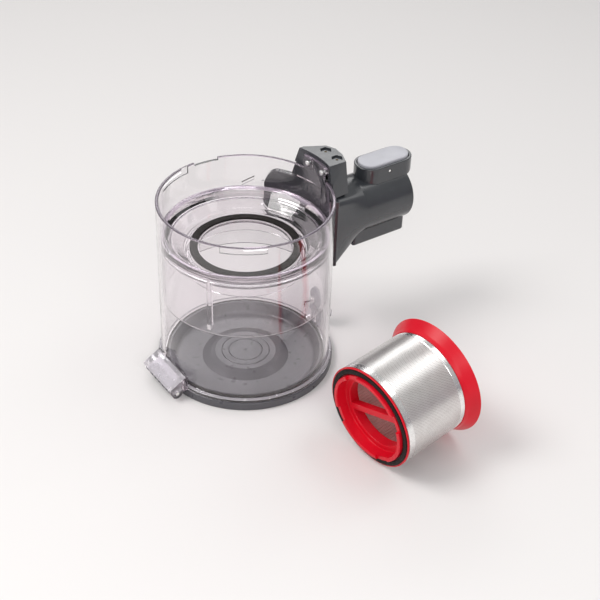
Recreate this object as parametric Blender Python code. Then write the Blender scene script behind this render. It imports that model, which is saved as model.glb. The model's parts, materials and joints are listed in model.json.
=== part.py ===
"""Clear dust cup of a cordless vacuum cleaner, with its wand connector and its cyclone filter.

The filter is out of the cup and lies on the floor beside it.
Origin: on the floor under the cup's axis. +X runs along the wand socket, +Z is up. Metres.
"""

import math

import bmesh
import bpy
from mathutils import Matrix, Vector

MM = 0.001

# --- clearances -------------------------------------------------------------
GAP = 0.3 * MM  # between pieces that touch
SLIP = 0.5 * MM  # between pieces that slide into each other
PIN_PLAY = 0.3 * MM  # round a pin, on the radius

# --- dust cup ---------------------------------------------------------------
CUP_RADIUS = 59.0 * MM
CUP_WALL = 2.2 * MM
CUP_HEIGHT = 129.4 * MM  # rim above the floor
FOOT_LEDGE = 2.0 * MM  # how far the foot flange stands out
FOOT_THICKNESS = 2.5 * MM
NOTCH_DEPTH = 2.0 * MM  # lowered stretch of the rim
NOTCH_FROM, NOTCH_TO = 77.0, 95.2  # degrees round the cup
RIM_SLOT_DEPTH = 0.9 * MM  # bayonet slots in the inner face
RIM_SLOT_HEIGHT = 4.5 * MM
RIM_SLOT_DROP = 5.4 * MM  # cup rim to the slots' lower edge
RIM_SLOTS = ((-138.5, -109.0), (101.0, 131.0))  # degrees round the cup
LUG_ANGLES = (176.0, 296.0, 56.0)
LUG_HALF_TURN = 4.5  # degrees
LUG_RISE = 5.0 * MM  # slanted bayonet lugs above the insert
LUG_THICKNESS = 2.0 * MM
LUG_DEPTH = 1.6 * MM

# --- vortex insert ----------------------------------------------------------
LEDGE_DROP = 23.4 * MM  # cup rim to the insert's top edge
SLEEVE_LENGTH = 47.6 * MM
SLEEVE_WALL = 1.8 * MM
SEAT_DROP = 13.5 * MM  # top edge to the gasket seat
SEAT_MARGIN = 1.5 * MM  # gasket seat beyond the neck's wall
SEAT_THICKNESS = 1.6 * MM
NECK_LENGTH = 10.9 * MM
NECK_WALL = 1.8 * MM
NECK_PLAY = 2.8 * MM  # round the filter's drum, on the radius
INSERT_LIP = 1.1 * MM  # flat top edge of the insert
GASKET_SETBACK = 1.2 * MM  # from the opening's edge
GASKET_WIDTH = 5.4 * MM
GASKET_THICKNESS = 1.5 * MM
RIB_ANGLE = -147.5  # the one vertical rib inside the sleeve
RIB_DEPTH = 3.6 * MM
RIB_WIDTH = 2.4 * MM
RIB_FROM = 2.0 * MM  # above the sleeve's bottom edge
RIB_TO = 5.0 * MM  # below the insert's top edge

# --- lid --------------------------------------------------------------------
LID_OVERHANG = 2.5 * MM  # lid radius beyond the cup's
LID_RIM_HEIGHT = 6.0 * MM
LID_FLOOR = 2.0 * MM
LID_PLATEAU_RISE = 1.4 * MM
LID_PLATEAU_RADIUS = 26.0 * MM
LID_SLOPE_RADIUS = 32.0 * MM
LID_PLUG_HEIGHT = 3.0 * MM
LID_PLUG_WALL = 1.7 * MM
LID_DISH_RUN = 4.0 * MM
LID_CHANNEL_DEPTH = 3.8 * MM
LID_CHANNEL_RUN = 3.0 * MM
LID_SKIRT_WALL = 3.0 * MM
LID_EDGE = 0.8 * MM  # chamfer round the lid's upper edge
SEAL_WIDTH = 1.7 * MM
SEAL_HEIGHT = 2.6 * MM
LID_TAB_WIDTH = 10.0 * MM
LID_TAB_HEIGHT = 4.0 * MM
LID_TAB_REACH = 1.8 * MM

# --- lid hinge --------------------------------------------------------------
HINGE_REACH = 7.0 * MM  # pin axis beyond the cup's wall
HINGE_PIN_RADIUS = 1.2 * MM
KNUCKLE_RADIUS = 4.0 * MM
KNUCKLE_LENGTH = 28.4 * MM
EAR_WIDTH = 4.4 * MM
EAR_RADIUS = 4.0 * MM
BRACKET_TOP = 11.5 * MM  # above the pin axis, at the wall
BRACKET_LIP = 5.5 * MM  # beyond the pin axis

# --- lid latch --------------------------------------------------------------
LATCH_REACH = 7.0 * MM  # pin axis beyond the cup's wall
LATCH_PIN_HEIGHT = 15.0 * MM
LATCH_PIN_RADIUS = 1.0 * MM
LATCH_ARM_BACK = 1.0 * MM  # arm's back face behind the pin axis
LATCH_TOOTH_HEIGHT = 2.4 * MM
LATCH_ARM_WIDTH = 11.4 * MM
LATCH_ARM_THICKNESS = 3.0 * MM
LATCH_FOOT_HEIGHT = 1.0 * MM
PADDLE_RADIUS = 8.5 * MM
PADDLE_THICKNESS = 2.4 * MM
PADDLE_CENTRE = 10.0 * MM  # above the pin axis
LATCH_CHEEK_WIDTH = 2.0 * MM
LATCH_CHEEK_REACH = 3.2 * MM  # beyond the pin axis
LATCH_CHEEK_TOP = 3.4 * MM  # above the pin axis
LATCH_SPRING_RADIUS = 2.4 * MM
LATCH_SPRING_WIRE = 0.35 * MM
LATCH_SPRING_LENGTH = 3.1 * MM  # pressed length

# --- inlet connector --------------------------------------------------------
INLET_DROP = 32.5 * MM  # cup rim to the socket's axis
SOCKET_RADIUS = 20.1 * MM
SOCKET_WALL = 2.0 * MM
SOCKET_END = 68.8 * MM  # socket mouth beyond the cup's wall
FUNNEL_LENGTH = 28.0 * MM  # funnel end beyond the cup's wall
FUNNEL_STEP = 0.15 * MM  # funnel's end stands proud of the tube
PAD_THICKNESS = 1.5 * MM  # clear pad on the cup under the flange
PAD_MARGIN = 1.5 * MM
FLANGE_THICKNESS = 3.7 * MM
FLANGE_FROM, FLANGE_TO = -19.5, 45.0  # degrees round the cup
FLANGE_STEP = 14.0  # where the flange narrows to the side lobe
FLANGE_STEP_RUN = 6.0
LOBE_ROUNDING = 9.0  # degrees of the lobe's rounded end
LOBE_CORNER = 30.0
FLANGE_TOP_MARGIN = 1.0 * MM  # above the socket's wall
FLANGE_BOTTOM = 30.9 * MM  # below the socket's axis
LOBE_BOTTOM = 11.9 * MM
PORT_FROM, PORT_TO = 6.3, 31.3
PORT_TOP = 5.0 * MM  # above the socket's axis
PORT_BOTTOM = 9.0 * MM
TOWER_RISE = 12.1 * MM  # tower top above the cup's rim
TOWER_DEPTH = 17.0 * MM  # tower's outer face beyond the cup's wall
TAB_RISE = 9.5 * MM  # clear tab above the cup's rim
TAB_FROM, TAB_TO = -11.0, 14.0
TOWER_EDGE = 0.8 * MM
# Corners of the tower, as shares of its depth along X and millimetres along Y.
TOWER_SHOULDERS = [(-0.56, -18.5), (0.78, -15.7), (0.97, -6.0), (1.0, 6.0), (0.79, 17.0)]
TOWER_SHOULDERS += [(0.29, 26.0), (-0.88, 27.0)]
TOWER_CROWN = [(-0.29, -12.5), (0.73, -12.5), (0.96, -2.7), (1.0, 6.1), (0.82, 12.8)]
TOWER_CROWN += [(0.0, 19.9), (-0.41, 19.9)]
RECESS_SIDES = {"near": -5.5 * MM, "far": 7.5 * MM}
RECESS_RADIUS = 4.2 * MM
RECESS_DEPTH = 4.5 * MM
CONTACT_RADIUS = 1.0 * MM
CONTACT_HEIGHT = 3.0 * MM
SCREW_RADIUS = 1.0 * MM
SCREW_HEAD_RADIUS = 1.9 * MM
SCREW_HEAD_HEIGHT = 1.3 * MM
SCREW_LENGTH = 8.0 * MM
SCREW_ANGLES = {"near": -6.5, "far": 9.5}

# --- contact keel under the socket -------------------------------------------
KEEL_WIDTH = 26.0 * MM
KEEL_DROP = 6.8 * MM  # keel's underside below the socket's wall
KEEL_EDGE = 1.6 * MM
KEEL_START = 22.3 * MM  # beyond the cup's wall
KEEL_SETBACK = 1.8 * MM  # keel's end behind the socket's mouth
KEEL_HOLE_DEPTH = 14.0 * MM
KEEL_SLEEVE_RADIUS = 1.5 * MM
KEEL_SLEEVE_WALL = 0.6 * MM
KEEL_CONTACT_SPACING = 12.0 * MM

# --- wand release button ------------------------------------------------------
BUTTON_RADIUS = 8.8 * MM
BUTTON_SPAN = 22.5 * MM  # between the stadium's two centres
BUTTON_OVERHANG = 5.5 * MM  # button's end beyond the socket's mouth
BUTTON_RISE = 11.0 * MM  # above the socket's wall
BUTTON_EDGE = 0.9 * MM
BUTTON_THICKNESS = 4.6 * MM
BUTTON_PROUD = 2.0 * MM  # button above its collar
COLLAR_WALL = 1.9 * MM
BUTTON_PLAY = 0.5 * MM
COLLAR_FLOOR = 1.8 * MM
COLLAR_EDGE = 0.6 * MM
LEVER_THICKNESS = 2.5 * MM
LEVER_WIDTH = 11.0 * MM
LEVER_PIN_RADIUS = 0.9 * MM
LEVER_PIN_BACK = 16.5 * MM  # pin axis behind the socket's mouth
HOOK_BACK = 6.8 * MM
HOOK_LENGTH = 3.5 * MM
HOOK_WIDTH = 6.0 * MM
HOOK_BITE = 0.9 * MM
LEVER_SPRING_RADIUS = 1.4 * MM
LEVER_SPRING_WIRE = 0.22 * MM

# --- cyclone filter -----------------------------------------------------------
FILTER_RADIUS = 35.4 * MM
FILTER_LENGTH = 58.5 * MM  # front rim to the skirt's rim
DRUM_WALL = 0.7 * MM
DRUM_INSET = 0.1 * MM  # drum's surface inside the filter's outline
END_RING_LIP = 1.2 * MM  # the part of the end ring that shows
END_RING_SPIGOT = 2.8 * MM  # the part inside the drum
SEAL_RECESS = 0.5 * MM
END_FACE_WIDTH = 5.0 * MM  # from the collar to the filter's outline
COLLAR_RIM_WALL = 2.6 * MM
COLLAR_PROUD = 2.7 * MM
COLLAR_DEPTH = 12.0 * MM
COLLAR_SHELF = 4.2 * MM  # shelf inside the collar, and how deep it lies
COLLAR_SHELF_DEPTH = 5.0 * MM
COLLAR_NOTCHES = 4
COLLAR_NOTCH_START = 17.4  # degrees
COLLAR_NOTCH_DEPTH = 1.6 * MM
COLLAR_NOTCH_TURN = 22.0  # degrees
CROSS_BAR_WIDTH = 5.0 * MM
CROSS_BAR_TURN = 21.3  # degrees
FILTER_SEAL_WIDTH = 3.2 * MM
SEAL_THICKNESS = 1.2 * MM
SKIRT_FLARE = 5.5 * MM
SKIRT_LENGTH = 9.0 * MM
SKIRT_WALL = 2.0 * MM
END_CAP_THICKNESS = 1.8 * MM
FILTER_DISTANCE = 74.3 * MM  # filter's front centre beyond the cup's wall, towards -Y
FILTER_SIDE = 7.2 * MM
FILTER_TURN = 5.5  # degrees from +X

# --- facets -------------------------------------------------------------------
BIG_ROUND = 60
MID_ROUND = 40
SMALL_ROUND = 20
PIN_ROUND = 12

# --- places worked out from the sizes above -------------------------------------
CUP_BORE = CUP_RADIUS - CUP_WALL
CUP_BOTTOM = LID_RIM_HEIGHT + GAP
FOOT_RADIUS = CUP_RADIUS + FOOT_LEDGE
INLET_Z = CUP_HEIGHT - INLET_DROP
FLANGE_TOP = SOCKET_RADIUS + FLANGE_TOP_MARGIN
COLLAR_RADIUS = FILTER_RADIUS - END_FACE_WIDTH
SKIRT_RADIUS = FILTER_RADIUS + SKIRT_FLARE
LEDGE_Z = CUP_HEIGHT - LEDGE_DROP
SLEEVE_RADIUS = CUP_BORE - SLIP
SLEEVE_BORE = SLEEVE_RADIUS - SLEEVE_WALL
SLEEVE_BOTTOM = LEDGE_Z - SLEEVE_LENGTH
SEAT_Z = LEDGE_Z - SEAT_DROP
OPENING_RADIUS = COLLAR_RADIUS + SLIP
NECK_BORE = FILTER_RADIUS + NECK_PLAY
SEAT_RADIUS = NECK_BORE + NECK_WALL + SEAT_MARGIN
LID_RADIUS = CUP_RADIUS + LID_OVERHANG
HINGE_X = -(CUP_RADIUS + HINGE_REACH)
HINGE_Z = LID_RIM_HEIGHT
LATCH_X = CUP_RADIUS + LATCH_REACH
PAD_RADIUS = CUP_RADIUS + PAD_THICKNESS
FLANGE_RADIUS = PAD_RADIUS + GAP
MOUTH_X = CUP_RADIUS + SOCKET_END
FUNNEL_X = CUP_RADIUS + FUNNEL_LENGTH
SOCKET_BORE = SOCKET_RADIUS - SOCKET_WALL
TOWER_FOOT = INLET_Z + FLANGE_TOP + GAP
TOWER_TOP = CUP_HEIGHT + TOWER_RISE
TAB_TOP = CUP_HEIGHT + TAB_RISE
SCREW_Z = CUP_HEIGHT + 0.55 * TAB_RISE
BUTTON_OUTER_CENTRE = MOUTH_X + BUTTON_OVERHANG - BUTTON_RADIUS
BUTTON_INNER_CENTRE = BUTTON_OUTER_CENTRE - BUTTON_SPAN
BUTTON_Z = INLET_Z + SOCKET_RADIUS + BUTTON_RISE
COLLAR_Z = BUTTON_Z - BUTTON_PROUD
COLLAR_BORE = BUTTON_RADIUS + BUTTON_PLAY
LEVER_TOP = BUTTON_Z - BUTTON_THICKNESS - GAP
LEVER_PIN_X = MOUTH_X - LEVER_PIN_BACK
LEVER_PIN_Z = LEVER_TOP - 0.65 * LEVER_THICKNESS
COLLAR_FLOOR_Z = INLET_Z + SOCKET_RADIUS + GAP + COLLAR_FLOOR
FILTER_TILT = math.atan2(SKIRT_RADIUS - FILTER_RADIUS, FILTER_LENGTH)


# --- materials ------------------------------------------------------------------
def finish(name, colour, roughness, metallic=0.0, transmission=0.0):
    material = bpy.data.materials.new(name)
    material.use_nodes = True
    shader = material.node_tree.nodes["Principled BSDF"]
    shader.inputs["Base Color"].default_value = (*colour, 1.0)
    shader.inputs["Roughness"].default_value = roughness
    shader.inputs["Metallic"].default_value = metallic
    shader.inputs["Transmission Weight"].default_value = transmission
    return material


def clear_plastic():
    return finish("clear_plastic", (0.93, 0.91, 0.95), 0.05, transmission=0.9)


def charcoal_plastic():
    return finish("charcoal_plastic", (0.065, 0.071, 0.078), 0.32)


def lid_plastic():
    return finish("lid_plastic", (0.10, 0.10, 0.115), 0.30)


def button_plastic():
    return finish("button_plastic", (0.60, 0.61, 0.64), 0.38)


def smoke_plastic():
    return finish("smoke_plastic", (0.30, 0.31, 0.34), 0.30)


def red_plastic():
    return finish("red_plastic", (0.72, 0.012, 0.035), 0.28)


def black_rubber():
    return finish("black_rubber", (0.018, 0.017, 0.016), 0.65)


def steel():
    return finish("steel", (0.72, 0.71, 0.70), 0.28, metallic=1.0)


def brass():
    return finish("brass", (0.78, 0.58, 0.26), 0.30, metallic=1.0)


# --- shapes ---------------------------------------------------------------------
def polar(radius, degrees, z=0.0):
    angle = math.radians(degrees)
    return Vector((radius * math.cos(angle), radius * math.sin(angle), z))


def tidy(shape):
    bmesh.ops.recalc_face_normals(shape, faces=shape.faces)
    return shape


def turned(outline, segments):
    """Solid of revolution about Z from a closed outline of (radius, height) points."""
    shape = bmesh.new()
    rings = []
    for radius, height in outline:
        if radius < 1e-9:
            rings.append([shape.verts.new((0.0, 0.0, height))] * segments)
            continue
        turns = (360.0 * step / segments for step in range(segments))
        rings.append([shape.verts.new(polar(radius, turn, height)) for turn in turns])
    for low, high in zip(rings, rings[1:] + rings[:1]):
        for step in range(segments):
            after = (step + 1) % segments
            corners = dict.fromkeys((low[step], low[after], high[after], high[step]))
            if len(corners) > 2:
                shape.faces.new(corners)
    return tidy(shape)


def prism(outline, low, high, axis="Z"):
    """Outline extruded along an axis. Its points are (x, y) for Z, (x, z) for Y and (y, z) for X."""
    place = {
        "X": lambda a, b, along: (along, a, b),
        "Y": lambda a, b, along: (a, along, b),
        "Z": lambda a, b, along: (a, b, along),
    }[axis]
    shape = bmesh.new()
    ends = [[shape.verts.new(place(a, b, along)) for a, b in outline] for along in (low, high)]
    shape.faces.new(ends[0])
    shape.faces.new(ends[1])
    for index in range(len(outline)):
        after = (index + 1) % len(outline)
        shape.faces.new((ends[0][index], ends[0][after], ends[1][after], ends[1][index]))
    return tidy(shape)


def box(low, high):
    corners = [(low[0], low[1]), (high[0], low[1]), (high[0], high[1]), (low[0], high[1])]
    return prism(corners, low[2], high[2])


def hull(points):
    shape = bmesh.new()
    for point in points:
        shape.verts.new(point)
    made = bmesh.ops.convex_hull(shape, input=shape.verts)
    unused = [item for item in made["geom_interior"] if isinstance(item, bmesh.types.BMVert)]
    bmesh.ops.delete(shape, geom=unused, context="VERTS")
    return tidy(shape)


def rod(start, end, radius, segments):
    start, end = Vector(start), Vector(end)
    turn = (end - start).to_track_quat("Z", "Y").to_matrix().to_4x4()
    shape = bmesh.new()
    bmesh.ops.create_cone(
        shape,
        cap_ends=True,
        segments=segments,
        radius1=radius,
        radius2=radius,
        depth=(end - start).length,
        matrix=Matrix.Translation((start + end) / 2) @ turn,
    )
    return tidy(shape)


def ring_of_points(x, z, radius, segments):
    """Points of a circle round an axis along X."""
    turns = (2 * math.pi * step / segments for step in range(segments))
    return [Vector((x, radius * math.cos(turn), z + radius * math.sin(turn))) for turn in turns]


def stadium(start, end, radius, segments):
    """Outline in X and Y with a half circle round each centre."""
    half = segments // 2
    right = [(-90.0 + 180.0 * step / half) for step in range(half + 1)]
    outline = [(end + polar(radius, turn).x, polar(radius, turn).y) for turn in right]
    return outline + [(start - polar(radius, turn).x, -polar(radius, turn).y) for turn in right]


def wrapped(inner, outer, start, end, low, high, steps=24):
    """Curved plate round Z. low and high give its bottom and top at an angle in degrees."""
    shape = bmesh.new()
    columns = []
    for step in range(steps + 1):
        turn = start + (end - start) * step / steps
        corners = ((inner, low(turn)), (outer, low(turn)), (outer, high(turn)), (inner, high(turn)))
        columns.append([shape.verts.new(polar(radius, turn, z)) for radius, z in corners])
    shape.faces.new(columns[0])
    shape.faces.new(columns[-1])
    for before, after in zip(columns, columns[1:]):
        for index in range(4):
            beside = (index + 1) % 4
            shape.faces.new((before[index], before[beside], after[beside], after[index]))
    return tidy(shape)


def level(height):
    return lambda turn: height


# --- objects --------------------------------------------------------------------
def add(name, shape, material=None, origin=(0.0, 0.0, 0.0), sharp=35.0):
    """One object. The shape is given in world coordinates and its origin goes where it turns."""
    origin = Vector(origin)
    bmesh.ops.translate(shape, verts=shape.verts, vec=-origin)
    mesh = bpy.data.meshes.new(name)
    shape.to_mesh(mesh)
    shape.free()
    mesh.shade_smooth()
    mesh.set_sharp_from_angle(angle=math.radians(sharp))
    if material:
        mesh.materials.append(material)
    piece = bpy.data.objects.new(name, mesh)
    piece.location = origin
    bpy.context.scene.collection.objects.link(piece)
    return piece


def combine(piece, name, shape, operation):
    """Joins a helper shape to a piece, or cuts it away."""
    helper = add(f"{piece.name}.{name}", shape)
    helper.hide_render = True
    helper.display_type = "WIRE"
    modifier = piece.modifiers.new(name, "BOOLEAN")
    modifier.operation = operation
    modifier.object = helper
    return helper


def join(piece, name, shape):
    return combine(piece, name, shape, "UNION")


def cut(piece, name, shape):
    return combine(piece, name, shape, "DIFFERENCE")


def soften(piece, width, segments=1):
    modifier = piece.modifiers.new("soften", "BEVEL")
    modifier.width = width
    modifier.segments = segments
    modifier.limit_method = "ANGLE"
    modifier.angle_limit = math.radians(40)
    modifier.use_clamp_overlap = True


def coil(name, start, end, radius, wire, turns, material):
    """Coil spring along the line from start to end, as a round wire with filled ends."""
    start, end = Vector(start), Vector(end)
    along = (end - start).normalized()
    side = along.orthogonal().normalized()
    other = along.cross(side)
    per_turn = 10
    count = int(turns * per_turn) + 1
    curve = bpy.data.curves.new(name, "CURVE")
    curve.dimensions = "3D"
    curve.bevel_depth = wire
    curve.bevel_resolution = 0
    curve.use_fill_caps = True
    curve.materials.append(material)
    spline = curve.splines.new("POLY")
    spline.points.add(count - 1)
    for index, point in enumerate(spline.points):
        turn = 2 * math.pi * index / per_turn
        offset = side * (radius * math.cos(turn)) + other * (radius * math.sin(turn))
        place = start.lerp(end, index / (count - 1)) + offset - start
        point.co = (*place, 1.0)
    piece = bpy.data.objects.new(name, curve)
    piece.location = start
    bpy.context.scene.collection.objects.link(piece)
    return piece


# --- cup ------------------------------------------------------------------------
def flange_low(margin=0.0):
    """Bottom edge of the connector's flange, which steps up to the side lobe."""

    def edge(turn):
        share = min(max((turn - FLANGE_STEP) / FLANGE_STEP_RUN, 0.0), 1.0)
        drop = FLANGE_BOTTOM + (LOBE_BOTTOM - FLANGE_BOTTOM) * share
        return INLET_Z - drop * lobe_share(turn) - margin

    return edge


def flange_high(margin=0.0):
    return lambda turn: INLET_Z + FLANGE_TOP * lobe_share(turn) + margin


def lobe_share(turn):
    """1 along the flange, and a rounded fall to a half at the side lobe's end."""
    into = min(max((turn - (FLANGE_TO - LOBE_ROUNDING)) / LOBE_ROUNDING, 0.0), 1.0)
    return math.sqrt(1.0 - 0.75 * into * into)


def cup_body():
    outline = [
        (CUP_RADIUS, CUP_HEIGHT),
        (CUP_RADIUS, CUP_BOTTOM + FOOT_THICKNESS),
        (FOOT_RADIUS, CUP_BOTTOM + FOOT_THICKNESS),
        (FOOT_RADIUS, CUP_BOTTOM),
        (CUP_BORE, CUP_BOTTOM),
        (CUP_BORE, CUP_HEIGHT),
    ]
    return turned(outline, BIG_ROUND)


def hinge_bracket(half_width):
    """Sloping clear block over the hinge, extruded across the cup."""
    outline = [
        (-CUP_RADIUS + CUP_WALL / 2, CUP_BOTTOM),
        (-CUP_RADIUS + CUP_WALL / 2, HINGE_Z + BRACKET_TOP),
        (-CUP_RADIUS - 0.5 * MM, HINGE_Z + BRACKET_TOP),
        (HINGE_X - BRACKET_LIP, HINGE_Z + 0.4 * BRACKET_TOP),
        (HINGE_X - BRACKET_LIP, HINGE_Z + 0.25 * BRACKET_TOP),
        (HINGE_X - 0.7 * EAR_RADIUS, CUP_BOTTOM),
    ]
    return prism(outline, -half_width, half_width, "Y")


def latch_cheek(side):
    """One of the two clear ribs that hold the latch's pin."""
    inner = LATCH_ARM_WIDTH / 2 + GAP
    outline = [
        (CUP_RADIUS - CUP_WALL / 2, CUP_BOTTOM),
        (LATCH_X - LATCH_ARM_BACK, CUP_BOTTOM),
        (LATCH_X + LATCH_CHEEK_REACH, LATCH_PIN_HEIGHT - 3 * LATCH_PIN_RADIUS),
        (LATCH_X + LATCH_CHEEK_REACH, LATCH_PIN_HEIGHT + 2 * LATCH_PIN_RADIUS),
        (LATCH_X - LATCH_ARM_BACK, LATCH_PIN_HEIGHT + LATCH_CHEEK_TOP),
        (CUP_RADIUS - CUP_WALL / 2, LATCH_PIN_HEIGHT + 1.5 * LATCH_CHEEK_TOP),
    ]
    edges = sorted((side * inner, side * (inner + LATCH_CHEEK_WIDTH)))
    return prism(outline, edges[0], edges[1], "Y")


def bayonet_lug(turn):
    """Slanted lug inside the cup that the cleaner's body turns against."""
    ends = ((turn - LUG_HALF_TURN, LUG_RISE), (turn + LUG_HALF_TURN, 0.0))
    points = []
    for angle, rise in ends:
        low = LEDGE_Z + SLIP + rise
        for radius in (CUP_BORE - LUG_DEPTH, CUP_BORE + CUP_WALL / 2):
            points += [polar(radius, angle, low), polar(radius, angle, low + LUG_THICKNESS)]
    return hull(points)


def make_cup_shell(material):
    shell = add("cup_shell", cup_body(), material)
    pad_low, pad_high = flange_low(PAD_MARGIN), flange_high(PAD_MARGIN)
    wall = CUP_RADIUS - CUP_WALL / 2
    pad_turn = math.degrees(PAD_MARGIN / CUP_RADIUS)
    ends = (FLANGE_FROM - pad_turn, FLANGE_TO + pad_turn)
    join(shell, "pad", wrapped(wall, PAD_RADIUS, *ends, pad_low, pad_high))
    inset = 0.01 * MM
    tab_edges = (level(CUP_HEIGHT - 2 * MM), level(TAB_TOP))
    tab = wrapped(CUP_BORE + inset, CUP_RADIUS - inset, TAB_FROM, TAB_TO, *tab_edges, steps=6)
    join(shell, "tab", tab)
    half = KNUCKLE_LENGTH / 2 + GAP + EAR_WIDTH
    join(shell, "hinge_bracket", hinge_bracket(half))
    for side in (-1, 1):
        ear = (HINGE_X, side * (half - EAR_WIDTH), HINGE_Z), (HINGE_X, side * half, HINGE_Z)
        join(shell, f"ear_{side}", rod(*ear, EAR_RADIUS, SMALL_ROUND))
        join(shell, f"cheek_{side}", latch_cheek(side))
    for number, turn in enumerate(LUG_ANGLES):
        join(shell, f"lug_{number}", bayonet_lug(turn))
    room = KNUCKLE_LENGTH / 2 + GAP
    knuckle_room = rod(
        (HINGE_X, -room, HINGE_Z), (HINGE_X, room, HINGE_Z), KNUCKLE_RADIUS + SLIP, SMALL_ROUND
    )
    cut(shell, "knuckle_room", knuckle_room)
    pin_hole = HINGE_PIN_RADIUS + PIN_PLAY
    beyond = half * 1.1
    hinge_ends = (HINGE_X, -beyond, HINGE_Z), (HINGE_X, beyond, HINGE_Z)
    cut(shell, "hinge_hole", rod(*hinge_ends, pin_hole, PIN_ROUND))
    across = LATCH_ARM_WIDTH
    latch_hole = LATCH_PIN_RADIUS + PIN_PLAY
    latch_ends = (LATCH_X, -across, LATCH_PIN_HEIGHT), (LATCH_X, across, LATCH_PIN_HEIGHT)
    cut(shell, "latch_hole", rod(*latch_ends, latch_hole, PIN_ROUND))
    port_low, port_high = level(INLET_Z - PORT_BOTTOM), level(INLET_Z + PORT_TOP)
    port = wrapped(CUP_BORE - MM, PAD_RADIUS + MM, PORT_FROM, PORT_TO, port_low, port_high, steps=8)
    cut(shell, "port", port)
    notch_edges = level(CUP_HEIGHT - NOTCH_DEPTH), level(CUP_HEIGHT + MM)
    notch = wrapped(CUP_BORE - MM, CUP_RADIUS + MM, NOTCH_FROM, NOTCH_TO, *notch_edges, steps=6)
    cut(shell, "notch", notch)
    slot_z = CUP_HEIGHT - RIM_SLOT_DROP
    slot_edges = level(slot_z), level(slot_z + RIM_SLOT_HEIGHT)
    for number, (start, end) in enumerate(RIM_SLOTS):
        slot = wrapped(CUP_BORE - MM, CUP_BORE + RIM_SLOT_DEPTH, start, end, *slot_edges, steps=8)
        cut(shell, f"slot_{number}", slot)
    for name, turn in SCREW_ANGLES.items():
        ends = polar(CUP_BORE - MM, turn, SCREW_Z), polar(CUP_RADIUS + MM, turn, SCREW_Z)
        cut(shell, f"screw_hole_{name}", rod(*ends, SCREW_RADIUS + PIN_PLAY, PIN_ROUND))
    return shell


# --- insert and gasket ------------------------------------------------------------
def make_vortex_insert(material):
    cone_foot = SEAT_RADIUS + GAP
    under = SEAT_Z - SEAT_THICKNESS
    outline = [
        (SLEEVE_RADIUS, LEDGE_Z),
        (SLEEVE_RADIUS, SLEEVE_BOTTOM),
        (SLEEVE_BORE, SLEEVE_BOTTOM),
        (SLEEVE_BORE, LEDGE_Z - 1.6 * SLEEVE_WALL),
        (cone_foot, under),
        (NECK_BORE + NECK_WALL, under),
        (NECK_BORE + NECK_WALL, under - NECK_LENGTH),
        (NECK_BORE, under - NECK_LENGTH),
        (NECK_BORE, under),
        (OPENING_RADIUS, under),
        (OPENING_RADIUS, SEAT_Z),
        (SEAT_RADIUS, SEAT_Z),
        (SLEEVE_RADIUS - INSERT_LIP, LEDGE_Z),
    ]
    insert = add("vortex_insert", turned(outline, BIG_ROUND), material)
    edges = level(INLET_Z - PORT_BOTTOM), level(INLET_Z + PORT_TOP)
    port = wrapped(SLEEVE_BORE - GAP, SLEEVE_RADIUS + MM, PORT_FROM, PORT_TO, *edges, steps=8)
    cut(insert, "port", port)
    rib = box(
        (SLEEVE_BORE - RIB_DEPTH, -RIB_WIDTH / 2, SLEEVE_BOTTOM + RIB_FROM),
        (SLEEVE_BORE + SLEEVE_WALL / 2, RIB_WIDTH / 2, LEDGE_Z - RIB_TO),
    )
    bmesh.ops.rotate(rib, verts=rib.verts, matrix=Matrix.Rotation(math.radians(RIB_ANGLE), 3, "Z"))
    join(insert, "rib", rib)
    return insert


def make_insert_gasket(material):
    inner = OPENING_RADIUS + GASKET_SETBACK
    low = SEAT_Z + GAP
    outline = [
        (inner, low),
        (inner + GASKET_WIDTH, low),
        (inner + GASKET_WIDTH, low + 0.7 * GASKET_THICKNESS),
        (inner + 0.8 * GASKET_WIDTH, low + GASKET_THICKNESS),
        (inner + 0.2 * GASKET_WIDTH, low + GASKET_THICKNESS),
        (inner, low + 0.7 * GASKET_THICKNESS),
    ]
    return add("insert_gasket", turned(outline, MID_ROUND), material)


# --- connector ----------------------------------------------------------------------
def funnel(extra, face_radius):
    """Funnel from the socket's tube to the flange, as the hull of a circle and the flange's corners."""
    points = ring_of_points(FUNNEL_X, INLET_Z, SOCKET_RADIUS + FUNNEL_STEP + extra, MID_ROUND)
    top, bottom = INLET_Z + FLANGE_TOP + extra, INLET_Z - FLANGE_BOTTOM - extra
    lobe = INLET_Z - LOBE_BOTTOM - extra
    corners = [(FLANGE_FROM, bottom), (FLANGE_FROM, top), (FLANGE_STEP, bottom)]
    corners += [(LOBE_CORNER, lobe), (LOBE_CORNER, top)]
    return hull(points + [polar(face_radius + extra, turn, z) for turn, z in corners])


def airway(face_radius):
    """Hollow from the socket's bore to the port in the cup's wall."""
    points = ring_of_points(FUNNEL_X, INLET_Z, SOCKET_BORE - 0.5 * MM, SMALL_ROUND)
    heights = (INLET_Z - PORT_BOTTOM, INLET_Z + PORT_TOP)
    corners = [polar(face_radius, turn, z) for turn in (PORT_FROM, PORT_TO) for z in heights]
    return hull(points + corners)


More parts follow.
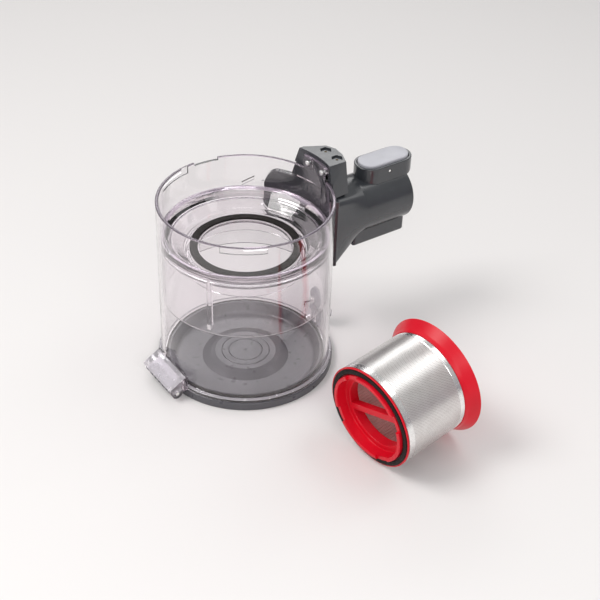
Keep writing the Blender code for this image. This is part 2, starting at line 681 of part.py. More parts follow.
def make_connector_body(material):
    face = FLANGE_RADIUS + FLANGE_THICKNESS
    plate = wrapped(FLANGE_RADIUS - MM, face, FLANGE_FROM, FLANGE_TO, flange_low(), flange_high())
    body = add("connector_body", plate, material)
    join(body, "funnel", funnel(0.0, face - 0.6 * MM))
    tube_start = (FUNNEL_X - 2.0 * MM, 0.0, INLET_Z)
    join(body, "tube", rod(tube_start, (MOUTH_X, 0.0, INLET_Z), SOCKET_RADIUS, MID_ROUND))
    drum = (0.0, 0.0, INLET_Z - 2 * FLANGE_BOTTOM), (0.0, 0.0, INLET_Z + 2 * FLANGE_BOTTOM)
    cut(body, "cup_room", rod(*drum, FLANGE_RADIUS, 2 * BIG_ROUND))
    bore_start = (FUNNEL_X - 1.0 * MM, 0.0, INLET_Z)
    cut(body, "bore", rod(bore_start, (MOUTH_X + MM, 0.0, INLET_Z), SOCKET_BORE, MID_ROUND))
    cut(body, "airway", airway(FLANGE_RADIUS - 4.0 * MM))
    cut(body, "hook_slot", hook_slot(INLET_Z + 0.8 * SOCKET_BORE, INLET_Z + 1.2 * SOCKET_RADIUS))
    return body


def hook_slot(low, high):
    """Room for the lever's hook, from the button's collar into the socket."""
    back = MOUTH_X - HOOK_BACK - SLIP
    front = MOUTH_X - HOOK_BACK + HOOK_LENGTH + SLIP
    half = HOOK_WIDTH / 2 + SLIP
    return box((back, -half, low), (front, half, high))


def make_terminal_tower(material):
    """Tower over the flange."""
    points = [
        Vector((CUP_RADIUS + x * TOWER_DEPTH, y * MM, height))
        for corners, height in ((TOWER_SHOULDERS, TOWER_FOOT), (TOWER_CROWN, TOWER_TOP))
        for x, y in corners
    ]
    tower = add("terminal_tower", hull(points), material)
    soften(tower, TOWER_EDGE, 2)
    inner = FLANGE_RADIUS
    above = CUP_RADIUS + GAP
    outline = [
        (0.0, TOWER_FOOT - MM),
        (inner, TOWER_FOOT - MM),
        (inner, CUP_HEIGHT + GAP),
        (above, CUP_HEIGHT + GAP),
        (above, TOWER_TOP + MM),
        (0.0, TOWER_TOP + MM),
    ]
    cut(tower, "cup_room", turned(outline, 2 * BIG_ROUND))
    for name, place in recess_places().items():
        outline = [(place + polar(RECESS_RADIUS, 60.0 * side)).xy for side in range(6)]
        cut(tower, f"recess_{name}", prism(outline, TOWER_TOP - RECESS_DEPTH, TOWER_TOP + MM))
    for name, turn in SCREW_ANGLES.items():
        reach = CUP_BORE + SCREW_LENGTH + GAP
        ends = polar(CUP_RADIUS - MM, turn, SCREW_Z), polar(reach, turn, SCREW_Z)
        cut(tower, f"screw_hole_{name}", rod(*ends, SCREW_RADIUS + PIN_PLAY, PIN_ROUND))
    return tower


def recess_places():
    middle = CUP_RADIUS + 0.58 * TOWER_DEPTH
    return {name: Vector((middle, side, 0.0)) for name, side in RECESS_SIDES.items()}


def make_tower_contacts(material):
    low = TOWER_TOP - RECESS_DEPTH + GAP
    for name, place in recess_places().items():
        start = (place.x, place.y, low)
        end = (place.x, place.y, low + CONTACT_HEIGHT)
        add(f"tower_contact_{name}", rod(start, end, CONTACT_RADIUS, PIN_ROUND), material)


def make_tower_screws(material):
    for name, turn in SCREW_ANGLES.items():
        under_head = CUP_BORE - GAP
        head = polar(under_head - SCREW_HEAD_HEIGHT, turn, SCREW_Z), polar(under_head, turn, SCREW_Z)
        screw = add(f"tower_screw_{name}", rod(*head, SCREW_HEAD_RADIUS, PIN_ROUND), material)
        start = polar(under_head - 0.4 * SCREW_HEAD_HEIGHT, turn, SCREW_Z)
        tip = polar(CUP_BORE + SCREW_LENGTH, turn, SCREW_Z)
        join(screw, "shank", rod(start, tip, SCREW_RADIUS, PIN_ROUND))


def make_keel_housing(material):
    low = (CUP_RADIUS + KEEL_START, -KEEL_WIDTH / 2, INLET_Z - SOCKET_RADIUS - KEEL_DROP)
    end = MOUTH_X - KEEL_SETBACK
    high = (end, KEEL_WIDTH / 2, INLET_Z - 0.7 * SOCKET_RADIUS)
    keel = add("keel_housing", box(low, high), material)
    soften(keel, KEEL_EDGE, 2)
    socket = (0.0, 0.0, INLET_Z), (MOUTH_X + MM, 0.0, INLET_Z)
    cut(keel, "socket_room", rod(*socket, SOCKET_RADIUS + GAP, 2 * MID_ROUND))
    cut(keel, "funnel_room", funnel(GAP, FLANGE_RADIUS + FLANGE_THICKNESS))
    for name, place in keel_contact_places().items():
        ends = (end - KEEL_HOLE_DEPTH, *place), (end + MM, *place)
        cut(keel, f"hole_{name}", rod(*ends, KEEL_SLEEVE_RADIUS + GAP, SMALL_ROUND))
    return keel


def keel_contact_places():
    height = INLET_Z - SOCKET_RADIUS - KEEL_DROP / 2
    return {"near": (-KEEL_CONTACT_SPACING / 2, height), "far": (KEEL_CONTACT_SPACING / 2, height)}


def make_keel_contacts(material):
    end = MOUTH_X - KEEL_SETBACK
    for name, place in keel_contact_places().items():
        ends = (end - KEEL_HOLE_DEPTH + GAP, *place), (end - MM, *place)
        shape = rod(*ends, KEEL_SLEEVE_RADIUS, SMALL_ROUND)
        sleeve = add(f"keel_contact_{name}", shape, material)
        hollow_start = (end - KEEL_HOLE_DEPTH + 3 * MM, *place)
        bore = KEEL_SLEEVE_RADIUS - KEEL_SLEEVE_WALL
        cut(sleeve, "hollow", rod(hollow_start, (end + MM, *place), bore, SMALL_ROUND))


# --- wand release button ----------------------------------------------------------------
def make_button_collar(material):
    radius = COLLAR_BORE + COLLAR_WALL
    outline = stadium(BUTTON_INNER_CENTRE, BUTTON_OUTER_CENTRE, radius, SMALL_ROUND * 2)
    collar = add("button_collar", prism(outline, INLET_Z + 0.6 * SOCKET_RADIUS, COLLAR_Z), material)
    soften(collar, COLLAR_EDGE)
    pocket = stadium(BUTTON_INNER_CENTRE, BUTTON_OUTER_CENTRE, COLLAR_BORE, SMALL_ROUND * 2)
    cut(collar, "pocket", prism(pocket, COLLAR_FLOOR_Z, COLLAR_Z + MM))
    socket = (0.0, 0.0, INLET_Z), (MOUTH_X + 3 * BUTTON_OVERHANG, 0.0, INLET_Z)
    cut(collar, "socket_room", rod(*socket, SOCKET_RADIUS + GAP, 2 * MID_ROUND))
    cut(collar, "funnel_room", funnel(GAP, FLANGE_RADIUS + FLANGE_THICKNESS))
    cut(collar, "hook_slot", hook_slot(INLET_Z, COLLAR_FLOOR_Z + MM))
    reach = radius + MM
    pin = (LEVER_PIN_X, -reach, LEVER_PIN_Z), (LEVER_PIN_X, reach, LEVER_PIN_Z)
    cut(collar, "pin_hole", rod(*pin, LEVER_PIN_RADIUS + PIN_PLAY, PIN_ROUND))
    return collar


def make_wand_button(material):
    outline = stadium(BUTTON_INNER_CENTRE, BUTTON_OUTER_CENTRE, BUTTON_RADIUS, SMALL_ROUND * 2)
    shape = prism(outline, BUTTON_Z - BUTTON_THICKNESS, BUTTON_Z)
    button = add("wand_button", shape, material, origin=(LEVER_PIN_X, 0.0, LEVER_PIN_Z))
    soften(button, BUTTON_EDGE, 2)
    return button


def make_button_lever(material):
    low = LEVER_TOP - LEVER_THICKNESS
    back = BUTTON_INNER_CENTRE - 0.6 * BUTTON_RADIUS
    front = BUTTON_OUTER_CENTRE
    half = LEVER_WIDTH / 2
    bar = box((back, -half, low), (front, half, LEVER_TOP))
    lever = add("button_lever", bar, material, origin=(LEVER_PIN_X, 0.0, LEVER_PIN_Z))
    hook_low = (MOUTH_X - HOOK_BACK, -HOOK_WIDTH / 2, INLET_Z + SOCKET_BORE - HOOK_BITE)
    hook_high = (MOUTH_X - HOOK_BACK + HOOK_LENGTH, HOOK_WIDTH / 2, LEVER_TOP - GAP)
    join(lever, "hook", box(hook_low, hook_high))
    reach = LEVER_WIDTH
    pin = (LEVER_PIN_X, -reach, LEVER_PIN_Z), (LEVER_PIN_X, reach, LEVER_PIN_Z)
    cut(lever, "pin_hole", rod(*pin, LEVER_PIN_RADIUS + PIN_PLAY, PIN_ROUND))
    return lever


def make_button_pin(material):
    reach = COLLAR_BORE + COLLAR_WALL - GAP
    ends = (LEVER_PIN_X, -reach, LEVER_PIN_Z), (LEVER_PIN_X, reach, LEVER_PIN_Z)
    return add("button_pin", rod(*ends, LEVER_PIN_RADIUS, PIN_ROUND), material)


def make_button_spring(material):
    inner = LEVER_WIDTH / 2 + LEVER_SPRING_WIRE + GAP
    outer = COLLAR_BORE - LEVER_SPRING_WIRE - GAP
    start = (LEVER_PIN_X, inner, LEVER_PIN_Z)
    end = (LEVER_PIN_X, outer, LEVER_PIN_Z)
    return coil("button_spring", start, end, LEVER_SPRING_RADIUS, LEVER_SPRING_WIRE, 4, material)


# --- lid ----------------------------------------------------------------------------------
def lid_plug_radius():
    return CUP_BORE - GAP - SEAL_WIDTH - GAP


def make_bottom_lid(material):
    plug = lid_plug_radius()
    plug_top = LID_RIM_HEIGHT + LID_PLUG_HEIGHT
    plateau = LID_FLOOR + LID_PLATEAU_RISE
    dish = plug - LID_PLUG_WALL - LID_DISH_RUN
    outline = [
        (0.0, 0.0),
        (dish, 0.0),
        (dish + LID_CHANNEL_RUN, LID_CHANNEL_DEPTH),
        (LID_RADIUS - LID_SKIRT_WALL, LID_CHANNEL_DEPTH),
        (LID_RADIUS - LID_SKIRT_WALL, 0.0),
        (LID_RADIUS, 0.0),
        (LID_RADIUS, LID_RIM_HEIGHT - LID_EDGE),
        (LID_RADIUS - LID_EDGE, LID_RIM_HEIGHT),
        (plug, LID_RIM_HEIGHT),
        (plug, plug_top),
        (plug - LID_PLUG_WALL, plug_top),
        (dish, LID_FLOOR),
        (LID_SLOPE_RADIUS, LID_FLOOR),
        (LID_PLATEAU_RADIUS, plateau),
        (0.0, plateau),
    ]
    lid = add("bottom_lid", turned(outline, BIG_ROUND), material, origin=(HINGE_X, 0.0, HINGE_Z))
    half = KNUCKLE_LENGTH / 2
    ends = (HINGE_X, -half, HINGE_Z), (HINGE_X, half, HINGE_Z)
    join(lid, "knuckle", rod(*ends, KNUCKLE_RADIUS, SMALL_ROUND))
    web_end = -(LID_RADIUS - 0.9 * LID_SKIRT_WALL)
    web = box((HINGE_X, -half, HINGE_Z - KNUCKLE_RADIUS), (web_end, half, HINGE_Z - GAP))
    join(lid, "web", web)
    tab_low = LATCH_FOOT_HEIGHT - 0.2 * MM
    tab = box(
        (LID_RADIUS - 1.5 * MM, -LID_TAB_WIDTH / 2, tab_low),
        (LID_RADIUS + LID_TAB_REACH, LID_TAB_WIDTH / 2, tab_low + LID_TAB_HEIGHT),
    )
    join(lid, "tab", tab)
    hole = (HINGE_X, -half - MM, HINGE_Z), (HINGE_X, half + MM, HINGE_Z)
    cut(lid, "hinge_hole", rod(*hole, HINGE_PIN_RADIUS + PIN_PLAY, PIN_ROUND))
    return lid


def make_lid_seal(material):
    inner = lid_plug_radius() + GAP
    low = LID_RIM_HEIGHT + GAP
    outline = [
        (inner, low),
        (inner + 0.75 * SEAL_WIDTH, low),
        (inner + SEAL_WIDTH, low + 0.5 * SEAL_HEIGHT),
        (inner + 0.75 * SEAL_WIDTH, low + SEAL_HEIGHT),
        (inner, low + SEAL_HEIGHT),
    ]
    return add("lid_seal", turned(outline, BIG_ROUND), material, origin=(HINGE_X, 0.0, HINGE_Z))


def make_hinge_pin(material):
    half = KNUCKLE_LENGTH / 2 + GAP + EAR_WIDTH - GAP
    ends = (HINGE_X, -half, HINGE_Z), (HINGE_X, half, HINGE_Z)
    return add("hinge_pin", rod(*ends, HINGE_PIN_RADIUS, PIN_ROUND), material)


# --- latch ----------------------------------------------------------------------------------
def make_lid_latch(material):
    origin = (LATCH_X, 0.0, LATCH_PIN_HEIGHT)
    half = LATCH_ARM_WIDTH / 2
    inside = LATCH_X - LATCH_ARM_BACK
    outside = inside + LATCH_ARM_THICKNESS
    paddle_z = LATCH_PIN_HEIGHT + PADDLE_CENTRE
    arm = box((inside, -half + MM, LATCH_FOOT_HEIGHT), (outside, half - MM, paddle_z))
    latch = add("lid_latch", arm, material, origin=origin)
    boss = (LATCH_X, -half, LATCH_PIN_HEIGHT), (LATCH_X, half, LATCH_PIN_HEIGHT)
    join(latch, "boss", rod(*boss, LATCH_ARM_THICKNESS, SMALL_ROUND))
    paddle = (outside - PADDLE_THICKNESS, 0.0, paddle_z), (outside, 0.0, paddle_z)
    join(latch, "paddle", rod(*paddle, PADDLE_RADIUS, 2 * SMALL_ROUND))
    tooth_low = (LID_RADIUS + LID_TAB_REACH + SLIP, -half + MM, LATCH_FOOT_HEIGHT)
    tooth_high = (outside, half - MM, LATCH_FOOT_HEIGHT + LATCH_TOOTH_HEIGHT)
    join(latch, "tooth", box(tooth_low, tooth_high))
    hole = (LATCH_X, -2 * half, LATCH_PIN_HEIGHT), (LATCH_X, 2 * half, LATCH_PIN_HEIGHT)
    cut(latch, "pin_hole", rod(*hole, LATCH_PIN_RADIUS + PIN_PLAY, PIN_ROUND))
    return latch


def make_latch_pin(material):
    half = LATCH_ARM_WIDTH / 2 + GAP + LATCH_CHEEK_WIDTH - 0.2 * MM
    ends = (LATCH_X, -half, LATCH_PIN_HEIGHT), (LATCH_X, half, LATCH_PIN_HEIGHT)
    return add("latch_pin", rod(*ends, LATCH_PIN_RADIUS, PIN_ROUND), material)


def make_latch_spring(material):
    height = LATCH_PIN_HEIGHT + PADDLE_CENTRE
    start = CUP_RADIUS + LATCH_SPRING_WIRE + GAP
    end = start + LATCH_SPRING_LENGTH
    ends = (start, 0.0, height), (end, 0.0, height)
    return coil("latch_spring", *ends, LATCH_SPRING_RADIUS, LATCH_SPRING_WIRE, 4, material)


# --- filter ---------------------------------------------------------------------------------
def filter_frame():
    """Empty on the filter's axis at its front rim, with its own +Z towards the skirt."""
    frame = bpy.data.objects.new("filter_axis", None)
    bpy.context.scene.collection.objects.link(frame)
    turn = math.radians(FILTER_TURN)
    level_way = Vector((math.cos(turn), math.sin(turn), 0.0))
    axis = level_way * math.cos(FILTER_TILT) + Vector((0, 0, 1)) * math.sin(FILTER_TILT)
    side = level_way.cross(Vector((0, 0, 1))).normalized()
    up = side.cross(axis)
    frame.matrix_world = Matrix.Translation(
        (FILTER_SIDE, -(CUP_RADIUS + FILTER_DISTANCE), FILTER_RADIUS * math.cos(FILTER_TILT))
    ) @ Matrix((up, -side, axis)).transposed().to_4x4()
    return frame


def make_filter_end_ring(material, frame):
    inner = COLLAR_RADIUS + GAP
    spigot = FILTER_RADIUS - DRUM_INSET - DRUM_WALL - GAP
    seal_outer = inner + FILTER_SEAL_WIDTH + 2 * GAP
    outline = [
        (FILTER_RADIUS, 0.0),
        (FILTER_RADIUS, END_RING_LIP),
        (spigot, END_RING_LIP),
        (spigot, END_RING_LIP + END_RING_SPIGOT),
        (inner, END_RING_LIP + END_RING_SPIGOT),
        (inner, SEAL_RECESS),
        (seal_outer, SEAL_RECESS),
        (seal_outer, 0.0),
    ]
    ring = add("filter_end_ring", turned(outline, MID_ROUND), material)
    ring.parent = frame
    return ring


def make_filter_seal(material, frame):
    inner = COLLAR_RADIUS + 2 * GAP
    outer = inner + FILTER_SEAL_WIDTH
    floor = SEAL_RECESS - GAP
    outline = [
        (inner, floor),
        (inner, floor - 0.6 * SEAL_THICKNESS),
        ((inner + outer) / 2, floor - SEAL_THICKNESS),
        (outer, floor - 0.6 * SEAL_THICKNESS),
        (outer, floor),
    ]
    seal = add("filter_seal", turned(outline, MID_ROUND), material)
    seal.parent = frame
    return seal


def make_filter_collar(material, frame):
    bore = COLLAR_RADIUS - COLLAR_RIM_WALL
    shelf = COLLAR_SHELF_DEPTH
    outline = [
        (COLLAR_RADIUS, -COLLAR_PROUD),
        (COLLAR_RADIUS, COLLAR_DEPTH),
        (bore - COLLAR_SHELF, COLLAR_DEPTH),
        (bore - COLLAR_SHELF, shelf),
        (bore, shelf),
        (bore, -COLLAR_PROUD),
    ]
    collar = add("filter_collar", turned(outline, MID_ROUND), material)
    reach = bore - COLLAR_SHELF / 2
    half = CROSS_BAR_WIDTH / 2
    bar = box((-half, -reach, shelf + 0.2 * MM), (half, reach, shelf + CROSS_BAR_WIDTH))
    bmesh.ops.rotate(bar, verts=bar.verts, matrix=Matrix.Rotation(math.radians(CROSS_BAR_TURN), 3, "Z"))
    helper = join(collar, "cross_bar", bar)
    helper.parent = frame
    ends = level(-COLLAR_PROUD - MM), level(-COLLAR_PROUD + COLLAR_NOTCH_DEPTH)
    for number in range(COLLAR_NOTCHES):
        turn = COLLAR_NOTCH_START + 360.0 * number / COLLAR_NOTCHES
        notch = wrapped(bore - MM, COLLAR_RADIUS + MM, turn, turn + COLLAR_NOTCH_TURN, *ends, steps=3)
        helper = cut(collar, f"notch_{number}", notch)
        helper.parent = frame
    collar.parent = frame
    return collar


def make_filter_drum(material, frame):
    start = END_RING_LIP + GAP
    end = FILTER_LENGTH - SKIRT_LENGTH - GAP
    radius = FILTER_RADIUS - DRUM_INSET
    outline = [(radius, start), (radius, end), (radius - DRUM_WALL, end), (radius - DRUM_WALL, start)]
    drum = add("filter_mesh_drum", turned(outline, MID_ROUND), material)
    drum.parent = frame
    return drum


def make_filter_skirt(material, frame):
    start = FILTER_LENGTH - SKIRT_LENGTH
    outline = [
        (FILTER_RADIUS + 0.3 * MM, start),
        (FILTER_RADIUS + 0.6 * (SKIRT_RADIUS - FILTER_RADIUS), start + 0.35 * SKIRT_LENGTH),
        (SKIRT_RADIUS, FILTER_LENGTH),
        (SKIRT_RADIUS - SKIRT_WALL, FILTER_LENGTH),
        (FILTER_RADIUS - 0.5 * MM, start + 0.45 * SKIRT_LENGTH),
        (FILTER_RADIUS - SKIRT_WALL, start + 0.45 * SKIRT_LENGTH),
        (FILTER_RADIUS - SKIRT_WALL, start),
    ]
    skirt = add("filter_skirt", turned(outline, MID_ROUND), material)
    skirt.parent = frame
    return skirt


def make_filter_end_cap(material, frame):
    start = FILTER_LENGTH - SKIRT_LENGTH
    end = start + END_CAP_THICKNESS
    radius = FILTER_RADIUS - SKIRT_WALL - GAP
    outline = [(0.0, start), (radius, start), (radius, end), (0.0, end)]
    cap = add("filter_end_cap", turned(outline, MID_ROUND), material)
    cap.parent = frame
    return cap


def clear_scene():
    for item in list(bpy.data.objects):
        bpy.data.objects.remove(item)


def make_cup_assembly():
    clear, charcoal, metal = clear_plastic(), charcoal_plastic(), steel()
    rubber, contact = black_rubber(), brass()
    make_cup_shell(clear)
    make_vortex_insert(clear)
    make_insert_gasket(rubber)
    make_connector_body(charcoal)
    make_terminal_tower(charcoal)
    make_tower_contacts(contact)
    make_tower_screws(metal)
    make_keel_housing(charcoal)
    make_keel_contacts(contact)
    make_button_collar(charcoal)
    make_wand_button(button_plastic())
    make_button_lever(charcoal)
    make_button_pin(metal)
    make_button_spring(metal)
    make_bottom_lid(lid_plastic())
    make_lid_seal(rubber)
    make_hinge_pin(metal)
    make_lid_latch(smoke_plastic())
    make_latch_pin(metal)
    make_latch_spring(metal)


def make_filter():
    red, frame = red_plastic(), filter_frame()
    make_filter_end_ring(red, frame)
    make_filter_seal(black_rubber(), frame)
    make_filter_collar(red, frame)
    make_filter_drum(steel(), frame)
    make_filter_skirt(red, frame)
    make_filter_end_cap(red, frame)


clear_scene()
make_cup_assembly()
make_filter()
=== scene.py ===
"""Looks of the clear dust cup and its cyclone filter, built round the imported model. Metres, +Z up."""

import json
import math

import bmesh
import bpy
from mathutils import Matrix, Vector


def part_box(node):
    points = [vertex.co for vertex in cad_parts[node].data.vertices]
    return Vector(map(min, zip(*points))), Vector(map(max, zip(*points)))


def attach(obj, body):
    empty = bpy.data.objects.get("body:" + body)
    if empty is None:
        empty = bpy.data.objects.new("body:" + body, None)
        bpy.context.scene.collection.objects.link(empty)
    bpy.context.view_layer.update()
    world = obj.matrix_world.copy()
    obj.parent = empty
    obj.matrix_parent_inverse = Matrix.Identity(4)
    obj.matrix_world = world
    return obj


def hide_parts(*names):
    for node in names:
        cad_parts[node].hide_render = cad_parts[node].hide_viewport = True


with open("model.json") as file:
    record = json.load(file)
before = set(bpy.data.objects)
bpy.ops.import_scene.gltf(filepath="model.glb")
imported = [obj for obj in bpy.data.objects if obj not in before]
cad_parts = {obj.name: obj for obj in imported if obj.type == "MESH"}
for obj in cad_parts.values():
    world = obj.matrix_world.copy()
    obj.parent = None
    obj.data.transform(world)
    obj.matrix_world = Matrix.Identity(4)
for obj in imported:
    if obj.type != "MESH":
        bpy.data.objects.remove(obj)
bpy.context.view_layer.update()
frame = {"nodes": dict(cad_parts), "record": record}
SCENE = bpy.context.scene

MM = 0.001
FINE = 240  # segments round the cup
ROUND = 96
PIN_SIDES = 29  # segments of pin and screw holes
BOSS_SIDES = 61
TUBE_SIDES = 181
GAP = 0.3 * MM
THROUGH = 50.0 * MM  # half the length of a cut that goes right through
UPWARD = 0.2  # how far up a top edge's normal points at least
INSET = 0.01 * MM  # keeps the faces of joined shapes from lying on each other

# --- camera and studio ---
WHITE = (1.0, 1.0, 1.0)
CAMERA_PLACE = (-0.36516, -0.57353, 0.54409)
CAMERA_RIGHT = (0.82385, -0.56613, 0.02776)
CAMERA_UP = (0.31537, 0.49853, 0.80747)
CAMERA_LENS = 73.0  # millimetres, on a 36 mm sensor
FLOOR_COLOUR = (0.86, 0.845, 0.838)
FLOOR_PAINTED_SHADE_WAY = (0.62, 0.78, 0.0)  # the way in which the painted shade darkens the floor
FLOOR_PAINTED_SHADE_SHARE = 0.80  # share of its colour that the painted shade leaves there
FLOOR_HALF = 20.0
LAMPS = (  # name, place, target, size, watts, colour
    ("key", (-0.75, 0.35, 1.25), (0.0, -0.2, 0.05), (0.6, 0.6), 10.0, (1.0, 0.985, 0.97)),
    ("front", (-0.5, -1.2, 0.95), (0.0, -0.1, 0.05), (1.2, 0.4), 7.0, WHITE),
    ("back", (0.50, 0.92, 0.80), (0.0, 0.0, 0.05), (0.9, 0.35), 2.4, WHITE),
    ("overhead", (0.55, -0.22, 1.15), (0.05, 0.0, 0.08), (0.75, 0.30), 1.4, WHITE),
    ("side", (1.1, -0.1, 0.8), (0.0, -0.05, 0.05), (0.4, 1.0), 1.2, WHITE),
)

# --- places read from the frame ---
FOOT_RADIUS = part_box("cup_shell")[1].y
CUP_RADIUS = FOOT_RADIUS - 2.0 * MM
SLEEVE_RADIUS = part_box("vortex_insert")[1].y
CUP_BORE = SLEEVE_RADIUS + 0.5 * MM
CUP_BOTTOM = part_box("lid_seal")[0].z
TAB_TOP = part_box("cup_shell")[1].z
RIM_Z = TAB_TOP - 9.5 * MM
LEDGE_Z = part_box("vortex_insert")[1].z
SLEEVE_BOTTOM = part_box("vortex_insert")[0].z
SEAT_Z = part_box("insert_gasket")[0].z - GAP
LID_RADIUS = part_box("bottom_lid")[1].y
LID_TOP = CUP_BOTTOM - GAP
HINGE_PIN = sum(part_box("hinge_pin"), Vector()) / 2
EAR_WIDTH = 4.4 * MM
KNUCKLE_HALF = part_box("hinge_pin")[1].y - EAR_WIDTH
KNUCKLE_RADIUS = 4.0 * MM
LATCH_PIN = sum(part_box("latch_pin"), Vector()) / 2
MOUTH_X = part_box("connector_body")[1].x
FLANGE_TOP_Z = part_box("connector_body")[1].z
INLET_Z = FLANGE_TOP_Z - 21.1 * MM
FLANGE_BOTTOM_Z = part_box("connector_body")[0].z
SOCKET_RADIUS = 20.1 * MM
FUNNEL_RADIUS = SOCKET_RADIUS + 0.8 * MM  # its narrow end stands proud of the socket
SOCKET_BORE = 18.1 * MM
FUNNEL_X = CUP_RADIUS + 28.0 * MM
PAD_RADIUS = CUP_RADIUS + 1.5 * MM
FLANGE_RADIUS = PAD_RADIUS + GAP
FLANGE_FACE = FLANGE_RADIUS + 3.7 * MM
FLANGE_FROM, FLANGE_TO = -19.5, 45.0  # degrees round the cup
FLANGE_STEP, FLANGE_STEP_RUN = 14.0, 6.0
LOBE_Z = INLET_Z - 11.9 * MM
LOBE_ROUNDING = 9.0
PORT_FROM, PORT_TO = 6.3, 31.3
PORT_LOW, PORT_HIGH = INLET_Z - 9.0 * MM, INLET_Z + 5.0 * MM
TAB_FROM, TAB_TO = -11.0, 14.0
LUG_ANGLES = (176.0, 296.0, 56.0)
RIM_NOTCH = (77.0, 95.2)
RIM_SLOTS = ((-138.5, -123.6, -124.0, -109.0), (101.0, 107.0, 106.0, 131.0))  # way in, then slot
RIB_ANGLE = -147.5
TOWER_FOOT, TOWER_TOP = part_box("terminal_tower")[0].z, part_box("terminal_tower")[1].z
TOWER_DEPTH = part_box("terminal_tower")[1].x - CUP_RADIUS
SCREW_ANGLES = {"near": -6.5, "far": 9.5}
SCREW_Z = RIM_Z + 5.2 * MM
BUTTON_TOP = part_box("wand_button")[1].z
BUTTON_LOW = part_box("wand_button")[0].z
BUTTON_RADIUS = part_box("wand_button")[1].y
BUTTON_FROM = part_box("wand_button")[0].x + BUTTON_RADIUS
BUTTON_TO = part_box("wand_button")[1].x - BUTTON_RADIUS
COLLAR_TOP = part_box("button_collar")[1].z
COLLAR_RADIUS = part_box("button_collar")[1].y
COLLAR_FLOOR = INLET_Z + SOCKET_RADIUS + 2.1 * MM
HOOK_FROM, HOOK_HALF = 120.5 * MM, 3.5 * MM  # room for the lever's hook

# --- the filter's own frame: origin at its front rim, +Z towards the skirt ---
FILTER_RADIUS = 35.4 * MM
SKIRT_RADIUS = 40.9 * MM
FILTER_LENGTH = 58.5 * MM
SKIRT_LENGTH = 9.0 * MM
FILTER_TURN = math.radians(5.5)
FILTER_TILT = math.atan2(SKIRT_RADIUS - FILTER_RADIUS, FILTER_LENGTH)
FILTER_ASIDE, FILTER_BEFORE = 7.2 * MM, 74.3 * MM  # where it lies by the cup
FILTER_PLACE = (FILTER_ASIDE, -(CUP_RADIUS + FILTER_BEFORE), FILTER_RADIUS * math.cos(FILTER_TILT))
FILTER_COLLAR_RADIUS = 30.4 * MM
RIB_PITCH = 2.0 * MM


def filter_matrix():
    level_way = Vector((math.cos(FILTER_TURN), math.sin(FILTER_TURN), 0.0))
    axis = level_way * math.cos(FILTER_TILT) + Vector((0, 0, 1)) * math.sin(FILTER_TILT)
    side = level_way.cross(Vector((0, 0, 1))).normalized()
    turn = Matrix((side.cross(axis), -side, axis)).transposed().to_4x4()
    return Matrix.Translation(FILTER_PLACE) @ turn


# --- shapes ---
def polar(radius, degrees, z=0.0):
    angle = math.radians(degrees)
    return Vector((radius * math.cos(angle), radius * math.sin(angle), z))


def tidy(shape):
    bmesh.ops.recalc_face_normals(shape, faces=shape.faces)
    return shape


def rounded(corners, steps=5):
    """Closed outline whose (a, b, fillet radius in millimetres) corners are arcs."""
    outline = []
    for index, (a, b, fillet) in enumerate(corners):
        here = Vector((a, b, 0.0))
        if not fillet:
            outline.append((a, b))
            continue
        after = corners[(index + 1) % len(corners)]
        back = Vector((*corners[index - 1][:2], 0.0)) - here
        ahead = Vector((*after[:2], 0.0)) - here
        half = back.angle(ahead) / 2
        reach = min(fillet * MM / math.tan(half), 0.49 * back.length, 0.49 * ahead.length)
        middle = (back.normalized() + ahead.normalized()).normalized()
        centre = here + middle * (reach / math.cos(half))
        start = here + back.normalized() * reach - centre
        end = here + ahead.normalized() * reach - centre
        for step in range(steps + 1):
            point = centre + start.slerp(end, step / steps) * start.length
            outline.append((point.x, point.y))
    return outline


def turned(outline, segments=FINE):
    """Solid of revolution about Z from a closed outline of (radius, height) points."""
    shape = bmesh.new()
    rings = []
    for radius, height in outline:
        if radius < 1e-7:
            rings.append([shape.verts.new((0.0, 0.0, height))] * segments)
            continue
        turns = (360.0 * step / segments for step in range(segments))
        rings.append([shape.verts.new(polar(radius, turn, height)) for turn in turns])
    for low, high in zip(rings, rings[1:] + rings[:1]):
        for step in range(segments):
            after = (step + 1) % segments
            corners = dict.fromkeys((low[step], low[after], high[after], high[step]))
            if len(corners) > 2:
                shape.faces.new(corners)
    return tidy(shape)


def prism(outline, low, high, axis="Z"):
    """Outline extruded along Z, from (x, y) points, or along Y, from (x, z) points."""
    return loft([
        [(a, along, b) if axis == "Y" else (a, b, along) for a, b in outline]
        for along in (low, high)
    ])


def box(low, high):
    corners = [(low[0], low[1]), (high[0], low[1]), (high[0], high[1]), (low[0], high[1])]
    return prism(corners, low[2], high[2])


def rod(start, end, radius, segments=ROUND):
    start, end = Vector(start), Vector(end)
    turn = (end - start).to_track_quat("Z", "Y").to_matrix().to_4x4()
    shape = bmesh.new()
    bmesh.ops.create_cone(
        shape,
        cap_ends=True,
        segments=segments,
        radius1=radius,
        radius2=radius,
        depth=(end - start).length,
        matrix=Matrix.Translation((start + end) / 2) @ turn,
    )
    return tidy(shape)


def across(place, half, radius, segments):
    """Rod along Y, centred on Y = 0, at this place's X and Z."""
    return rod((place.x, -half, place.z), (place.x, half, place.z), radius, segments)


def moved(shape, matrix):
    bmesh.ops.transform(shape, matrix=matrix, verts=shape.verts)
    return shape


def hull(points):
    shape = bmesh.new()
    for point in points:
        shape.verts.new(point)
    made = bmesh.ops.convex_hull(shape, input=shape.verts)
    unused = [item for item in made["geom_interior"] if isinstance(item, bmesh.types.BMVert)]
    bmesh.ops.delete(shape, geom=unused, context="VERTS")
    return tidy(shape)


def stadium(start, end, radius, segments=48):
    """Outline in X and Y with a half circle round each centre."""
    right = [(-90.0 + 180.0 * step / segments) for step in range(segments + 1)]
    outline = [(end + polar(radius, turn).x, polar(radius, turn).y) for turn in right]
    return outline + [(start - polar(radius, turn).x, -polar(radius, turn).y) for turn in right]


